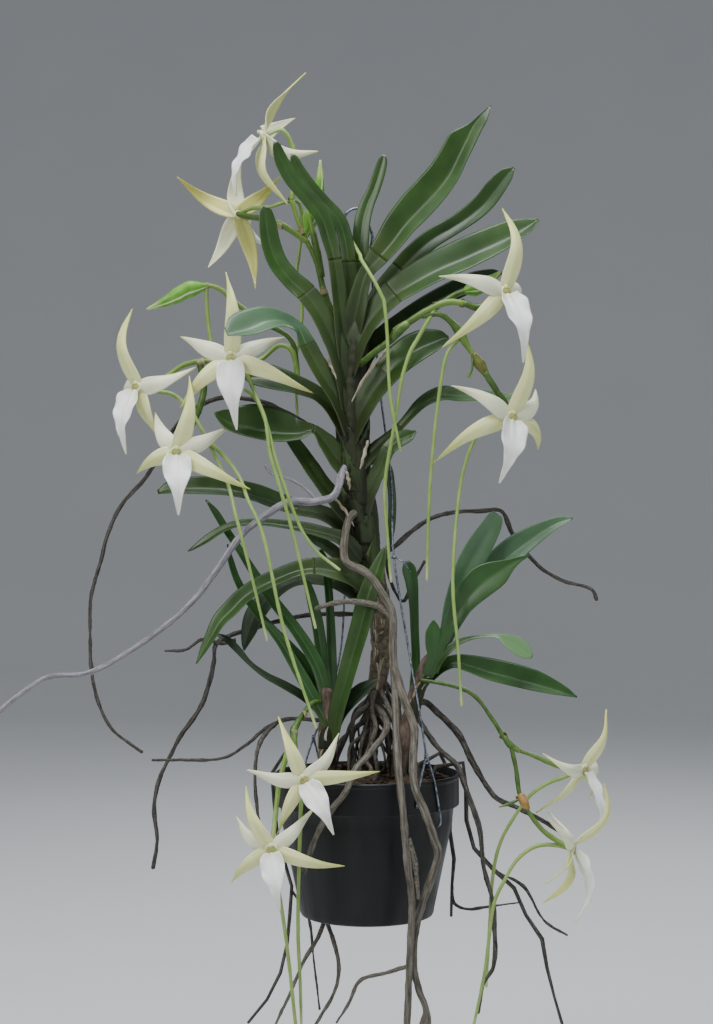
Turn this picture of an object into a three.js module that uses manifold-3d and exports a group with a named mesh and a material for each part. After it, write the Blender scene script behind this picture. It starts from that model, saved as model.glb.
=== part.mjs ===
// Potted comet orchid hanging on a two-legged wire hanger.
// Millimetres, +Z up, origin under the top of the hook, +X to the right, -Y to the front.

import * as THREE from 'three';
import { mergeVertices } from 'three/addons/utils/BufferGeometryUtils.js';
import Module from 'manifold-3d';

const wasm = await Module();
wasm.setup();

// Driving dimensions

const gap = 0.35;

const potX = 10;
const rimTopZ = -562;
const potHeight = 142;
const rimRadius = 92;
const baseRadius = 67;
const rimBand = 32;
const rimProud = 5;
const potWall = 1.8;
const potSides = 22;
const drainRadius = 8;
const drainRing = 43;
const drainHoles = 5;

const barkBelowRim = 12;
const barkHump = 16;
const barkChunks = 8;

const wireRadius = 1.1;
const hookRadius = 12.5;

const leafEdge = 0.8;
const leafMidrib = 2.4;
const leafSteps = 6;
const shootSteps = 4;
const footMidrib = 7;
const tepalMid = 2.6;
const sepalWidth = 19;
const petalWidth = 21;
const lipWidth = 30;
const columnRadius = 6;
const columnBack = 5;
const columnFront = 9;
const spurRadius = 1.8;
const pedicelRadius = 2.6;
const stalkRadius = 3;

// Colours and finishes

const finish = (color, roughness, metalness = 0) => ({ color, roughness, metalness });
const leafGreen = finish(0x2c4a26, 0.4);
const youngGreen = finish(0x3a6b35, 0.4);
const stemBrown = finish(0x3a3d24, 0.7);
const sprayGreen = finish(0x86a352, 0.5);
const bloomWhite = finish(0xf1efdc, 0.5);
const rootGrey = finish(0x7d776b, 0.85);
const rootDark = finish(0x34302c, 0.85);
const potBlack = finish(0x141417, 0.45);
const barkBrown = finish(0x4a3526, 0.95);
const steelGrey = finish(0x9aa0a8, 0.35, 0.9);

// Shape helpers

const vec = ([x, y, z]) => new THREE.Vector3(x, y, z);

// A closed body from equal rings of points, its two ends closed by strips across the first and last ring
function loft(rings) {
  const count = rings[0].length;
  const points = rings.flat().flatMap((p) => [p.x, p.y, p.z]);
  const faces = [];
  for (let r = 0; r + 1 < rings.length; r++) {
    for (let i = 0; i < count; i++) {
      const j = (i + 1) % count;
      const [a, b] = [r * count + i, r * count + j];
      faces.push(a, b, b + count, a, b + count, a + count);
    }
  }
  const last = (rings.length - 1) * count;
  for (let i = 0; i < count - 1; i++) {
    const k = Math.floor(i / 2);
    const strip = i % 2 ? [count - 1 - k, k + 1, count - 2 - k] : [k, k + 1, count - 1 - k];
    if (new Set(strip).size < 3) continue;
    const [a, b, c] = strip;
    faces.push(a, c, b, last + a, last + b, last + c);
  }
  return fromFaces(points, faces);
}

// A solid from points and triangles, turned inside out where its volume is negative
function fromFaces(points, faces) {
  let volume = 0;
  const at = (i) => new THREE.Vector3(points[i * 3], points[i * 3 + 1], points[i * 3 + 2]);
  for (let i = 0; i < faces.length; i += 3) {
    volume += at(faces[i]).dot(at(faces[i + 1]).cross(at(faces[i + 2])));
  }
  const triVerts = new Uint32Array(faces);
  if (volume < 0) {
    for (let i = 0; i < triVerts.length; i += 3) {
      [triVerts[i + 1], triVerts[i + 2]] = [triVerts[i + 2], triVerts[i + 1]];
    }
  }
  const mesh = new wasm.Mesh({ numProp: 3, vertProperties: new Float32Array(points), triVerts });
  return new wasm.Manifold(mesh);
}

// A solid from a three.js geometry that is closed once its seams are merged
function fromGeometry(geometry) {
  const bare = geometry.clone();
  bare.deleteAttribute('normal');
  bare.deleteAttribute('uv');
  const merged = mergeVertices(bare, 1e-4);
  return fromFaces([...merged.attributes.position.array], [...merged.index.array]);
}

function toGeometry(solid) {
  const mesh = solid.getMesh();
  const geometry = new THREE.BufferGeometry();
  geometry.setAttribute('position', new THREE.BufferAttribute(new Float32Array(mesh.vertProperties), 3));
  geometry.setIndex(new THREE.BufferAttribute(new Uint32Array(mesh.triVerts), 1));
  geometry.computeVertexNormals();
  return geometry;
}

function join(solids) {
  return solids.reduce((sum, solid) => sum.add(solid));
}

// The largest body of a solid, with any scrap that a cut left dropped
function largest(solid) {
  const bodies = solid.decompose();
  return bodies.sort((a, b) => b.volume() - a.volume())[0];
}

// A value read from an even list of values along 0..1
function along(list, t) {
  if (typeof list === 'number') return list;
  const s = Math.min(t, 0.99999) * (list.length - 1);
  const i = Math.floor(s);
  return list[i] + (list[i + 1] - list[i]) * (s - i);
}

// A tapered round stem, root or stalk through hand-placed points
function limb(points, radius, { sides = 5, step = 24, flat = 1, grow = 0 } = {}) {
  const curve = new THREE.CatmullRomCurve3(points.map(vec), false, 'centripetal');
  const knots = typeof radius === 'number' ? 1 : radius.length - 1;
  const steps = Math.max(knots, Math.round(curve.getLength() / step));
  const frames = curve.computeFrenetFrames(steps, false);
  const rings = [];
  for (let s = 0; s <= steps; s++) {
    const ahead = s === 0 ? -grow : s === steps ? grow : 0;
    const centre = curve.getPointAt(s / steps).addScaledVector(frames.tangents[s], ahead);
    const r = along(radius, s / steps) + grow;
    const ring = [];
    for (let i = 0; i < sides; i++) {
      const turn = (i / sides) * Math.PI * 2;
      const offset = frames.normals[s].clone().multiplyScalar(Math.cos(turn) * r);
      offset.addScaledVector(frames.binormals[s], Math.sin(turn) * r);
      offset.y *= flat;
      ring.push(centre.clone().add(offset));
    }
    rings.push(ring);
  }
  return loft(rings);
}

// Half width of a tepal: broad low down, drawn out to a point
function tepalShape(t) {
  if (t < 0.25) return 0.2 + 0.8 * (t / 0.25);
  return 1 - 0.93 * ((t - 0.25) / 0.75) ** 1.15;
}

// Half width of the lip: a broad shell that ends in a long tail
function lipShape(t) {
  if (t < 0.3) return 0.25 + 0.75 * (t / 0.3);
  if (t < 0.72) return 1 - 0.8 * ((t - 0.3) / 0.42) ** 1.6;
  return 0.2 - 0.14 * ((t - 0.72) / 0.28);
}

// A folded tepal along hand-placed points. face is the way its upper side looks.
function blade({ points, width, face, shape, fold, edge, middle, steps, grow = 0 }) {
  const curve = new THREE.CatmullRomCurve3(points.map(vec), false, 'centripetal');
  const rings = [];
  for (let s = 0; s <= steps; s++) {
    const t = s / steps;
    const centre = curve.getPointAt(t);
    const tangent = curve.getTangentAt(t);
    const side = tangent.clone().cross(vec(face)).normalize();
    const up = side.clone().cross(tangent).normalize();
    const half = (shape(t) * width) / 2 + grow;
    const lift = fold * half;
    const thin = edge / 2 + grow;
    const thick = ((1 - 0.55 * t) * middle) / 2 + grow;
    const spot = (across, height, ahead = 0) => centre.clone().addScaledVector(side, across)
      .addScaledVector(up, height).addScaledVector(tangent, ahead);
    if (edge > 0) {
      rings.push([spot(-half, lift + thin), spot(0, thick), spot(half, lift + thin),
        spot(half, lift - thin), spot(0, -thick), spot(-half, lift - thin)]);
    } else {
      const ahead = s === steps ? grow : 0;
      rings.push([spot(-half, lift, ahead), spot(0, thick, ahead), spot(half, lift, ahead),
        spot(0, -thick, ahead)]);
    }
  }
  return loft(rings);
}

// A folded leaf or leaf foot through stations of [x, y, z, width left of the fold, width right of it],
// run from one station to another. face is the way its upper side looks, at the stem and at the tip.
function strap({ stations, face, faceTip = face, fold, first = 0, last = stations.length - 1,
  steps = leafSteps, middle = leafMidrib, grow = 0 }) {
  const curve = new THREE.CatmullRomCurve3(stations.map(vec), false, 'centripetal');
  const end = stations.length - 1;
  const rings = [];
  for (let s = 0; s <= steps; s++) {
    const at = first + (last - first) * (s / steps);
    const i = Math.min(Math.floor(at), end - 1);
    const [left, right] = [3, 4].map((k) => (
      stations[i][k] + (stations[i + 1][k] - stations[i][k]) * (at - i) + grow));
    const ahead = s === 0 ? -grow : s === steps ? grow : 0;
    const tangent = curve.getTangent(at / end);
    const centre = curve.getPoint(at / end).addScaledVector(tangent, ahead);
    const look = vec(face).normalize().lerp(vec(faceTip).normalize(), at / end);
    const side = tangent.clone().cross(look).normalize();
    const up = side.clone().cross(tangent).normalize();
    const thin = leafEdge / 2 + grow;
    const thick = (middle * (1 - 0.55 * (s / steps))) / 2 + grow;
    const spot = (across, height) => centre.clone().addScaledVector(side, across)
      .addScaledVector(up, height);
    rings.push([spot(-left, fold * left + thin), spot(0, thick), spot(right, fold * right + thin),
      spot(right, fold * right - thin), spot(0, -thick), spot(-left, fold * left - thin)]);
  }
  return loft(rings);
}

// Pot

function makePot() {
  const lip = rimRadius;
  const floorZ = rimTopZ - potHeight;
  const bandZ = rimTopZ - rimBand;
  const under = lip - rimProud;
  const profile = [
    [0, floorZ + 5], [baseRadius - 14, floorZ + 5], [baseRadius - 11, floorZ], [baseRadius - 4, floorZ],
    [baseRadius, floorZ + 5], [under, bandZ], [lip, bandZ + 1], [lip, rimTopZ - 1.2],
    [lip - 1.4, rimTopZ],
    [lip - 2.6, rimTopZ - 1], [under - 1, bandZ + 2], [under - potWall, bandZ - 2],
    [baseRadius - potWall, floorZ + 9], [baseRadius - 6, floorZ + 7], [0, floorZ + 7],
  ].map(([r, z]) => new THREE.Vector2(r, z));
  const lathe = new THREE.LatheGeometry(profile, potSides);
  lathe.rotateX(Math.PI / 2);
  let pot = fromGeometry(lathe).translate([potX, 0, 0]);
  for (let i = 0; i < drainHoles; i++) {
    const turn = ((i + 0.25) / drainHoles) * Math.PI * 2;
    const drill = new THREE.CylinderGeometry(drainRadius, drainRadius, 20, 8);
    drill.rotateX(Math.PI / 2);
    drill.translate(potX + drainRing * Math.cos(turn), drainRing * Math.sin(turn), floorZ + 5);
    pot = pot.subtract(fromGeometry(drill));
  }
  return pot;
}

// Bark: the filling up to under the rim, with a low mound of chunks on top, one body

function seeded(seed) {
  let state = seed;
  return () => {
    state = (state * 16807) % 2147483647;
    return state / 2147483647;
  };
}

function makeBark() {
  const top = rimTopZ - barkBelowRim;
  const floor = rimTopZ - potHeight + 7 + gap;
  const under = rimRadius - rimProud - potWall - gap - 0.3;
  const profile = [
    [0, floor], [baseRadius - 7 - gap, floor], [baseRadius - potWall - gap - 0.8, floor + 4],
    [under - 1.2, rimTopZ - rimBand - 3], [under - 1, top - 2], [70, top + 3], [34, top + barkHump * 0.7],
    [0, top + barkHump],
  ].map(([r, z]) => new THREE.Vector2(r, z));
  const lathe = new THREE.LatheGeometry(profile, potSides);
  lathe.rotateX(Math.PI / 2);
  const random = seeded(7);
  const chunks = [];
  for (let i = 0; i < barkChunks; i++) {
    const ring = 74 * Math.sqrt((i + 0.5) / barkChunks);
    const turn = i * 2.39996;
    const size = [14 + random() * 14, 9 + random() * 8, 8 + random() * 6];
    const chunk = new THREE.BoxGeometry(...size);
    chunk.rotateZ(random() * Math.PI);
    chunk.rotateX((random() - 0.5) * 0.9);
    chunk.rotateY((random() - 0.5) * 0.9);
    const height = top + barkHump * (1 - ring / 84) + random() * 4;
    chunk.translate(ring * Math.cos(turn), ring * Math.sin(turn), height);
    chunks.push(fromGeometry(chunk));
  }
  return join([fromGeometry(lathe), ...chunks]).translate([potX, 0, 0]);
}

// Wire hanger

// A round wire through hand-placed points
function wire(points, radius = wireRadius, steps = Math.round(points.length * 1.3), sides = 5) {
  const outline = new THREE.Shape();
  for (let i = 0; i < sides; i++) {
    const turn = (i / sides) * Math.PI * 2;
    const spot = [radius * Math.cos(turn), radius * Math.sin(turn)];
    if (i) outline.lineTo(...spot);
    else outline.moveTo(...spot);
  }
  const path = new THREE.CatmullRomCurve3(points.map(vec), false, 'centripetal');
  const tube = new THREE.ExtrudeGeometry(outline, { steps, extrudePath: path, bevelEnabled: false });
  return fromGeometry(tube);
}

const hookTop = 1.5;
const shankZ = -58;
const twistLength = 22;

function makeHook() {
  const curl = [];
  for (let i = 0; i <= 9; i++) {
    const turn = Math.PI * (1.12 - 1.22 * (i / 9));
    curl.push([hookRadius * Math.cos(turn) - 0.5, 0, hookTop - hookRadius + hookRadius * Math.sin(turn)]);
  }
  const shank = [[13, 0, -18], [15.5, 0, -27], [13.5, 0, -38], [13, 0, shankZ]];
  const body = wire([...curl, ...shank], 1.5, 20, 5);
  const twist = limb([[13, 0, shankZ], [13, 0, shankZ + twistLength]], [2.9, 2, 2.9, 2, 2.9, 2, 2.9],
    { sides: 5, step: twistLength / 6 });
  return join([body, twist]);
}

const clipDrop = 42;
const clipReach = rimRadius + wireRadius + 0.4;
const crownRise = 26;

// The clip over the rim: the wire forks into an inner and an outer leg
function makeClip(angle) {
  const out = (r, z, swing) => [potX + r * Math.cos(angle + swing), r * Math.sin(angle + swing), z];
  const crown = rimTopZ + crownRise;
  const outer = [out(clipReach, crown, 0), out(clipReach, rimTopZ + 4, 0.1),
    out(clipReach, rimTopZ - 20, 0.17), out(clipReach, rimTopZ - clipDrop, 0.21),
    out(clipReach - 3, rimTopZ - clipDrop - 3, 0.21)];
  const inner = [out(clipReach, crown, 0), out(clipReach, rimTopZ + 6, -0.06),
    out(clipReach, rimTopZ - 8, -0.1), out(clipReach, rimTopZ - 24, -0.12)];
  return [wire(outer), wire(inner)];
}

const rightClip = -0.92;
const leftClip = 2.2;

const rightWirePath = [
  [14.6, -0.6, shankZ - 0.4], [22, 3, -170], [34, -6, -270], [36, -16, -341], [43, -30, -391],
  [54, -50, -457], [62, -66, -505],
];
const leftWirePath = [
  [11.2, 1, shankZ - 0.4], [3, 22, -170], [-6, 36, -270], [-12, 46, -376], [-18, 54, -453],
  [-34, 68, -510],
];

function makeWire(path, angle) {
  const end = [potX + clipReach * Math.cos(angle), clipReach * Math.sin(angle), rimTopZ + crownRise];
  return join([wire([...path, end]), ...makeClip(angle)]);
}

// Main stem with the leaf feet that clad it

const stemPath = [
  [12, 0, -594], [12, 0, -540], [18, -2, -490], [25, -5, -440], [22, -8, -390], [11, -11, -350],
  [6, -14, -305], [-3, -16, -260], [-5, -18, -223], [-5, -19, -190], [0, -21, -140], [4, -22, -96],
];
const stemRadii = [7, 8, 8, 9, 10, 12, 14, 15, 15, 15, 13, 9];

// Leaves of the main stem, each a foot that clasps the stem and a blade that bends out of it.
// Stations run from the stem to the tip: x, y, z, width left and right of the fold. foot is the
// station at which the foot ends and the blade begins.

const stemLeaves = {
  leaf_left_01: { face: [0.5, -0.8, 0.3], faceTip: [0.3, -0.9, 0.3], fold: 0.4, foot: 3, stations: [
    [-5, -18, -183, 12, 12], [-12, -26, -142, 12, 11], [-18, -31, -93, 9, 9], [-23, -34, -54, 8, 8],
    [-28, -35, -35, 8.5, 8.5], [-34, -36, -15, 9, 9], [-48, -37, 4, 9, 9], [-65, -38, 24, 9, 9],
    [-75, -38, 43, 8, 7], [-80, -38, 58, 4, 4], [-82, -38, 61, 1, 1]] },
  leaf_left_02: { face: [0.4, -0.9, 0.2], faceTip: [0.2, -0.9, 0.4], fold: 0.35, foot: 3, stations: [
    [-1, -14, -163, 9, 9], [-4, -18, -127, 9, 9], [-6, -21, -92, 8, 8], [-9, -22, -55, 8, 8],
    [-12, -22, -33, 8, 8], [-19, -22, -13, 8, 8], [-34, -22, 4, 7.5, 7.5], [-48, -22, 21, 7, 7],
    [-58, -22, 37, 7, 6], [-63, -22, 49, 4, 4], [-65, -22, 52, 1, 1]] },
  leaf_left_03: { face: [0.5, -0.8, 0.3], faceTip: [0.3, -0.9, 0.2], fold: 0.4, foot: 4, stations: [
    [-7, -22, -203, 14, 14], [-15, -31, -162, 13, 13], [-23, -34, -138, 12, 12],
    [-38, -35, -106, 12, 12], [-51, -35, -88, 12, 12], [-66, -34, -74, 11, 11], [-79, -33, -58, 11, 11],
    [-86, -32, -39, 10.5, 10.5], [-89, -31, -19, 9, 9], [-91, -30, -4, 5, 6], [-91, -30, -1, 1.5, 2]] },
  leaf_left_04: { face: [0.5, -0.8, 0.3], faceTip: [-0.15, -0.75, 0.7], fold: 0.5, foot: 4, stations: [
    [-7, -24, -221, 14, 14], [-19, -34, -194, 12, 12], [-30, -39, -176, 11, 11],
    [-42, -43, -155, 10, 10], [-50, -46, -139, 9.5, 9.5], [-57, -49, -124, 7, 7],
    [-70, -55, -117, 10, 9], [-86, -64, -118, 13, 16], [-103, -73, -126, 11, 20],
    [-116, -80, -130, 8, 17], [-124, -84, -132, 3, 8]] },
  leaf_left_05: { face: [0.3, -0.8, 0.4], faceTip: [0, -0.75, 0.65], fold: 0.5, foot: 3, stations: [
    [-7, -20, -231, 12, 12], [-23, -24, -203, 10, 10], [-38, -25, -188, 9, 9], [-56, -25, -180, 11, 11],
    [-76, -25, -174, 14, 14], [-94, -24, -170, 14, 15], [-106, -23, -170, 8, 10],
    [-111, -23, -170, 2, 3]] },
  leaf_left_06: { face: [0.3, -0.8, 0.4], faceTip: [0, -0.8, 0.6], fold: 0.55, foot: 3, stations: [
    [-5, -20, -270, 13, 13], [-19, -26, -253, 12, 12], [-31, -28, -235, 10, 10], [-43, -28, -222, 4, 6],
    [-58, -28, -225, 9, 16], [-81, -28, -225, 13, 24], [-106, -28, -220, 15, 24],
    [-125, -28, -215, 12, 17], [-137, -28, -208, 4, 8], [-141, -28, -205, 1, 2]] },
  leaf_left_07: { face: [0.4, -0.8, 0.4], faceTip: [0.3, -0.8, 0.4], fold: 0.4, foot: 3, stations: [
    [-5, -16, -310, 12, 12], [-19, -16, -295, 11, 11], [-34, -15, -276, 9, 9], [-47, -13, -257, 9, 9],
    [-60, -10, -238, 8, 8], [-70, -8, -224, 5, 5], [-74, -8, -218, 1, 1]] },
  leaf_left_08: { face: [0.2, -0.8, 0.5], faceTip: [0, -0.8, 0.6], fold: 0.5, foot: 3, stations: [
    [1, -10, -338, 12, 12], [-15, -9, -317, 11, 11], [-35, -6, -305, 9, 9], [-57, -3, -300, 9, 9],
    [-82, 0, -293, 9, 11], [-102, 2, -286, 9, 12], [-127, 4, -281, 9, 12], [-152, 6, -279, 9, 12],
    [-173, 8, -279, 8, 11], [-190, 9, -280, 6, 8], [-200, 10, -283, 2, 3]] },
  leaf_left_09: { face: [0.3, -0.8, 0.4], fold: 0.35, foot: 3, stations: [
    [5, -6, -380, 9, 9], [-7, -4, -360, 8, 8], [-17, 0, -348, 7, 7], [-29, 4, -338, 7, 7],
    [-41, 7, -330, 6, 6], [-51, 8, -323, 1.5, 1.5]] },
  leaf_left_10: { face: [0.1, -0.8, 0.5], faceTip: [0, -0.7, 0.7], fold: 0.5, foot: 3, stations: [
    [3, -20, -352, 11, 11], [-14, -26, -331, 9, 9], [-32, -26, -324, 7, 7], [-51, -26, -319, 6, 7],
    [-71, -26, -316, 4, 6], [-94, -26, -313, 3.5, 4.5], [-116, -26, -314, 3.5, 4.5],
    [-133, -25, -320, 4, 5], [-150, -24, -331, 4, 5], [-163, -23, -339, 2, 2],
    [-167, -22, -341, 0.8, 0.8]] },
  leaf_left_11: { face: [0, -0.8, 0.6], faceTip: [-0.5, -0.8, 0.3], fold: 0.5, foot: 3, stations: [
    [19, -14, -393, 14, 14], [0, -32, -369, 14, 14], [-22, -38, -361, 11, 13], [-41, -40, -358, 8, 11],
    [-58, -41, -360, 8, 10], [-76, -42, -367, 8, 10], [-95, -44, -376, 8, 10], [-110, -45, -386, 8, 10],
    [-122, -46, -398, 8, 10], [-133, -47, -409, 7, 9], [-142, -48, -424, 6, 7],
    [-150, -48, -438, 3.5, 4.5], [-157, -48, -450, 0.8, 0.8]] },
  leaf_left_12: { face: [0, -0.7, 0.7], faceTip: [-0.6, -0.8, 0.1], fold: 0.35, foot: 3, stations: [
    [13, -10, -400, 9, 9], [-5, -3, -383, 8, 8], [-27, 0, -373, 6, 6], [-57, 3, -371, 6, 6],
    [-77, 4, -379, 8, 7], [-91, 5, -391, 11, 10], [-102, 6, -406, 12, 11], [-108, 6, -422, 10, 9],
    [-112, 6, -436, 4, 4], [-113, 6, -441, 1, 1]] },
  leaf_back_01: { face: [-0.2, -0.95, 0.1], fold: 0.2, foot: 2, stations: [
    [1, -10, -126, 8, 8], [4, -8, -81, 7, 7], [4, -7, -53, 7.5, 7.5], [4, -7, -31, 8.5, 8.5],
    [6, -7, -11, 8.5, 8], [10, -7, 4, 7.5, 7.5], [17, -7, 20, 6.5, 6.5], [23, -7, 38, 6, 6],
    [26, -7, 49, 4.5, 4.5], [27, -7, 54, 1.5, 1.5]] },
  leaf_right_01: { face: [-0.2, -0.85, 0.45], faceTip: [-0.1, -0.95, 0.2], fold: 0.5, foot: 3, stations: [
    [-7, -20, -144, 12, 10], [0, -30, -105, 11, 11], [9, -34, -70, 8, 8], [23, -35, -52, 13, 11],
    [35, -36, -38, 17, 12], [47, -37, -22, 19, 13], [62, -38, -6, 21, 14], [79, -39, 12, 21, 13],
    [90, -40, 27, 20, 12], [99, -40, 45, 18, 11], [107, -41, 62, 16, 11], [113, -41, 75, 5, 11],
    [121, -42, 86, 1.5, 9], [131, -42, 96, 0.8, 1]] },
  leaf_right_02: { face: [-0.4, -0.85, 0.3], faceTip: [-0.1, -0.95, 0.2], fold: 0.25, foot: 3, stations: [
    [-3, -14, -153, 10, 10], [9, -16, -120, 11, 11], [25, -18, -87, 12, 12], [43, -18, -62, 11, 11],
    [58, -18, -46, 11, 11], [74, -17, -32, 11, 11], [94, -16, -20, 11, 10], [112, -15, -8, 11, 10],
    [127, -14, 5, 11, 10], [139, -13, 20, 11, 9], [149, -12, 33, 8, 7], [156, -12, 40, 2, 2]] },
  leaf_right_03: { face: [-0.4, -0.8, 0.45], faceTip: [0, -0.8, 0.6], fold: 0.5, foot: 3, stations: [
    [-7, -24, -164, 14, 12], [5, -32, -131, 14, 13], [21, -35, -106, 14, 14], [37, -36, -90, 16, 15],
    [58, -37, -77, 18, 17], [82, -37, -64, 20, 19], [103, -37, -55, 21, 19], [123, -37, -46, 20, 17],
    [141, -36, -38, 19, 14], [158, -36, -29, 16, 10], [170, -35, -21, 9, 8], [178, -35, -15, 1.5, 3]] },
  leaf_right_04: { face: [-0.3, -0.8, 0.5], faceTip: [0.1, -0.9, 0.3], fold: 0.35, foot: 3, stations: [
    [-5, -16, -183, 11, 11], [7, -17, -153, 10, 10], [25, -16, -129, 10, 10], [48, -14, -111, 10, 10],
    [73, -12, -95, 11, 11], [98, -10, -82, 11, 11], [120, -9, -72, 10, 10], [137, -8, -66, 6, 6],
    [144, -8, -64, 1.5, 1.5]] },
  leaf_right_05: { face: [-0.4, -0.75, 0.5], faceTip: [-0.1, -0.85, 0.5], fold: 0.45, foot: 3, stations: [
    [-5, -22, -231, 13, 12], [5, -32, -207, 14, 14], [17, -37, -185, 15, 15], [30, -39, -168, 17, 17],
    [44, -40, -154, 18, 19], [59, -40, -144, 18, 18], [74, -40, -137, 15, 14], [84, -40, -133, 9, 8],
    [90, -40, -132, 2, 2]] },
  leaf_right_06: { face: [-0.2, -0.7, 0.6], faceTip: [0, -0.75, 0.65], fold: 0.35, foot: 3, stations: [
    [1, -18, -260, 10, 10], [17, -24, -243, 9, 9], [31, -26, -229, 6, 6], [42, -27, -219, 5, 5],
    [53, -27, -207, 6, 5.5], [63, -26, -197, 8, 6.5], [73, -25, -191, 10, 7], [86, -24, -187, 11, 8],
    [102, -23, -188, 9, 8], [122, -21, -188, 7, 7], [142, -19, -188, 5, 6], [154, -18, -188, 3, 4],
    [160, -18, -187, 1, 1]] },
  leaf_right_07: { face: [-0.4, -0.85, 0.3], faceTip: [-0.2, -0.9, 0.3], fold: 0.3, foot: 3, stations: [
    [5, -20, -300, 12, 12], [15, -28, -277, 9, 9], [24, -32, -257, 8, 8], [31, -35, -241, 8, 8],
    [41, -36, -232, 8.5, 8.5], [51, -36, -227, 7, 7], [58, -36, -223, 1.5, 1.5]] },
  leaf_right_08: { face: [0.5, -0.85, 0.1], fold: 0.2, foot: 2, stations: [
    [-3, -14, -256, 8, 8], [17, 2, -248, 6.5, 6.5], [30, 13, -258, 5.5, 5.5], [34, 17, -276, 4.5, 4.5],
    [35, 19, -300, 4.5, 4.5], [34, 20, -322, 4, 4], [33, 20, -338, 1.2, 1.2]] },
};

function makeFoot({ foot, stations, face, fold }, grow) {
  return strap({ stations, face, fold, last: foot, steps: 2, middle: footMidrib, grow });
}

function makeStem(grow = 0) {
  const core = limb(stemPath, stemRadii, { sides: 6, flat: 0.8, grow, step: 56 });
  return join([core, ...Object.values(stemLeaves).map((leaf) => makeFoot(leaf, grow))]);
}

// Side shoots: a short stem with its own leaves, grown as one piece

const leftShoot = {
  stem: [[-30, -30, -594], [-30, -32, -530], [-30, -34, -500], [-30, -35, -478]],
  leaves: [
    { face: [0.3, -0.85, 0.4], fold: 0.45, stations: [
      [-25, -34, -508, 7, 7], [-30, -34, -487, 7, 7], [-38, -34, -457, 7, 7], [-49, -33, -436, 7, 7],
      [-64, -31, -414, 6.5, 6.5], [-81, -29, -393, 6, 6], [-94, -27, -375, 5, 5],
      [-106, -24, -357, 4.5, 4.5], [-118, -21, -338, 4, 4], [-130, -18, -320, 4, 4],
      [-141, -15, -302, 3.5, 3.5], [-150, -13, -290, 1, 1]] },
    { face: [0.3, -0.85, 0.4], fold: 0.4, stations: [
      [-28, -26, -509, 6, 6], [-37, -24, -482, 6, 6], [-50, -21, -456, 6, 6],
      [-66, -19, -437, 5.5, 5.5], [-84, -17, -419, 5, 5], [-100, -15, -401, 4.5, 4.5],
      [-113, -14, -382, 4, 4], [-121, -13, -366, 3.5, 3.5], [-126, -12, -350, 3, 3],
      [-129, -11, -334, 0.8, 0.8]] },
    { face: [0.3, -0.85, 0.4], fold: 0.45, stations: [
      [-28, -38, -512, 6, 6], [-40, -41, -490, 6.5, 6.5], [-52, -43, -468, 6.5, 6.5],
      [-64, -45, -447, 6, 6], [-74, -46, -430, 5.5, 5.5], [-84, -47, -417, 4.5, 4.5],
      [-93, -48, -407, 1, 1]] },
    { face: [0, -0.8, 0.6], faceTip: [-0.3, -0.8, 0.5], fold: 0.4, stations: [
      [-29, -30, -513, 5, 5], [-38, -34, -497, 4.5, 4.5], [-52, -37, -484, 4.5, 4.5],
      [-70, -38, -473, 4.5, 4.5], [-89, -38, -463, 3.5, 3.5], [-105, -36, -451, 2.5, 2.5],
      [-117, -33, -438, 3.5, 3.5], [-129, -30, -427, 3.5, 3], [-141, -28, -422, 1, 1]] },
    { face: [0.5, -0.85, 0.2], fold: 0.4, stations: [
      [-27, -26, -503, 7, 7], [-31, -24, -478, 7, 7], [-36, -22, -443, 7, 7],
      [-40, -20, -414, 6.5, 6.5], [-45, -18, -391, 6, 6], [-50, -16, -373, 4, 4],
      [-53, -15, -366, 1, 1]] },
    { face: [0.6, -0.8, 0.1], fold: 0.35, stations: [
      [-24, -22, -510, 6, 6], [-25, -18, -478, 6, 6], [-26, -17, -439, 5.5, 5.5],
      [-27, -17, -404, 5, 5], [-29, -17, -374, 5, 5], [-32, -17, -352, 5, 5], [-36, -17, -339, 2, 2]] },
    { face: [-0.4, -0.9, 0.2], fold: 0.4, stations: [
      [-24, -38, -528, 7, 7], [-19, -42, -498, 8, 8], [-11, -44, -468, 9, 9], [-3, -45, -439, 10, 10],
      [5, -46, -410, 10.5, 10.5], [11, -46, -384, 10, 10], [19, -45, -361, 8, 9], [25, -44, -343, 4, 5],
      [28, -44, -335, 1, 1]] },
    { face: [-0.5, -0.8, 0.3], fold: 0.3, stations: [
      [-24, -32, -524, 6, 6], [-16, -34, -502, 7, 7], [-6, -35, -488, 8, 8], [6, -35, -477, 7.5, 7.5],
      [16, -34, -470, 4, 4], [21, -34, -467, 1, 1]] },
  ],
};

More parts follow.
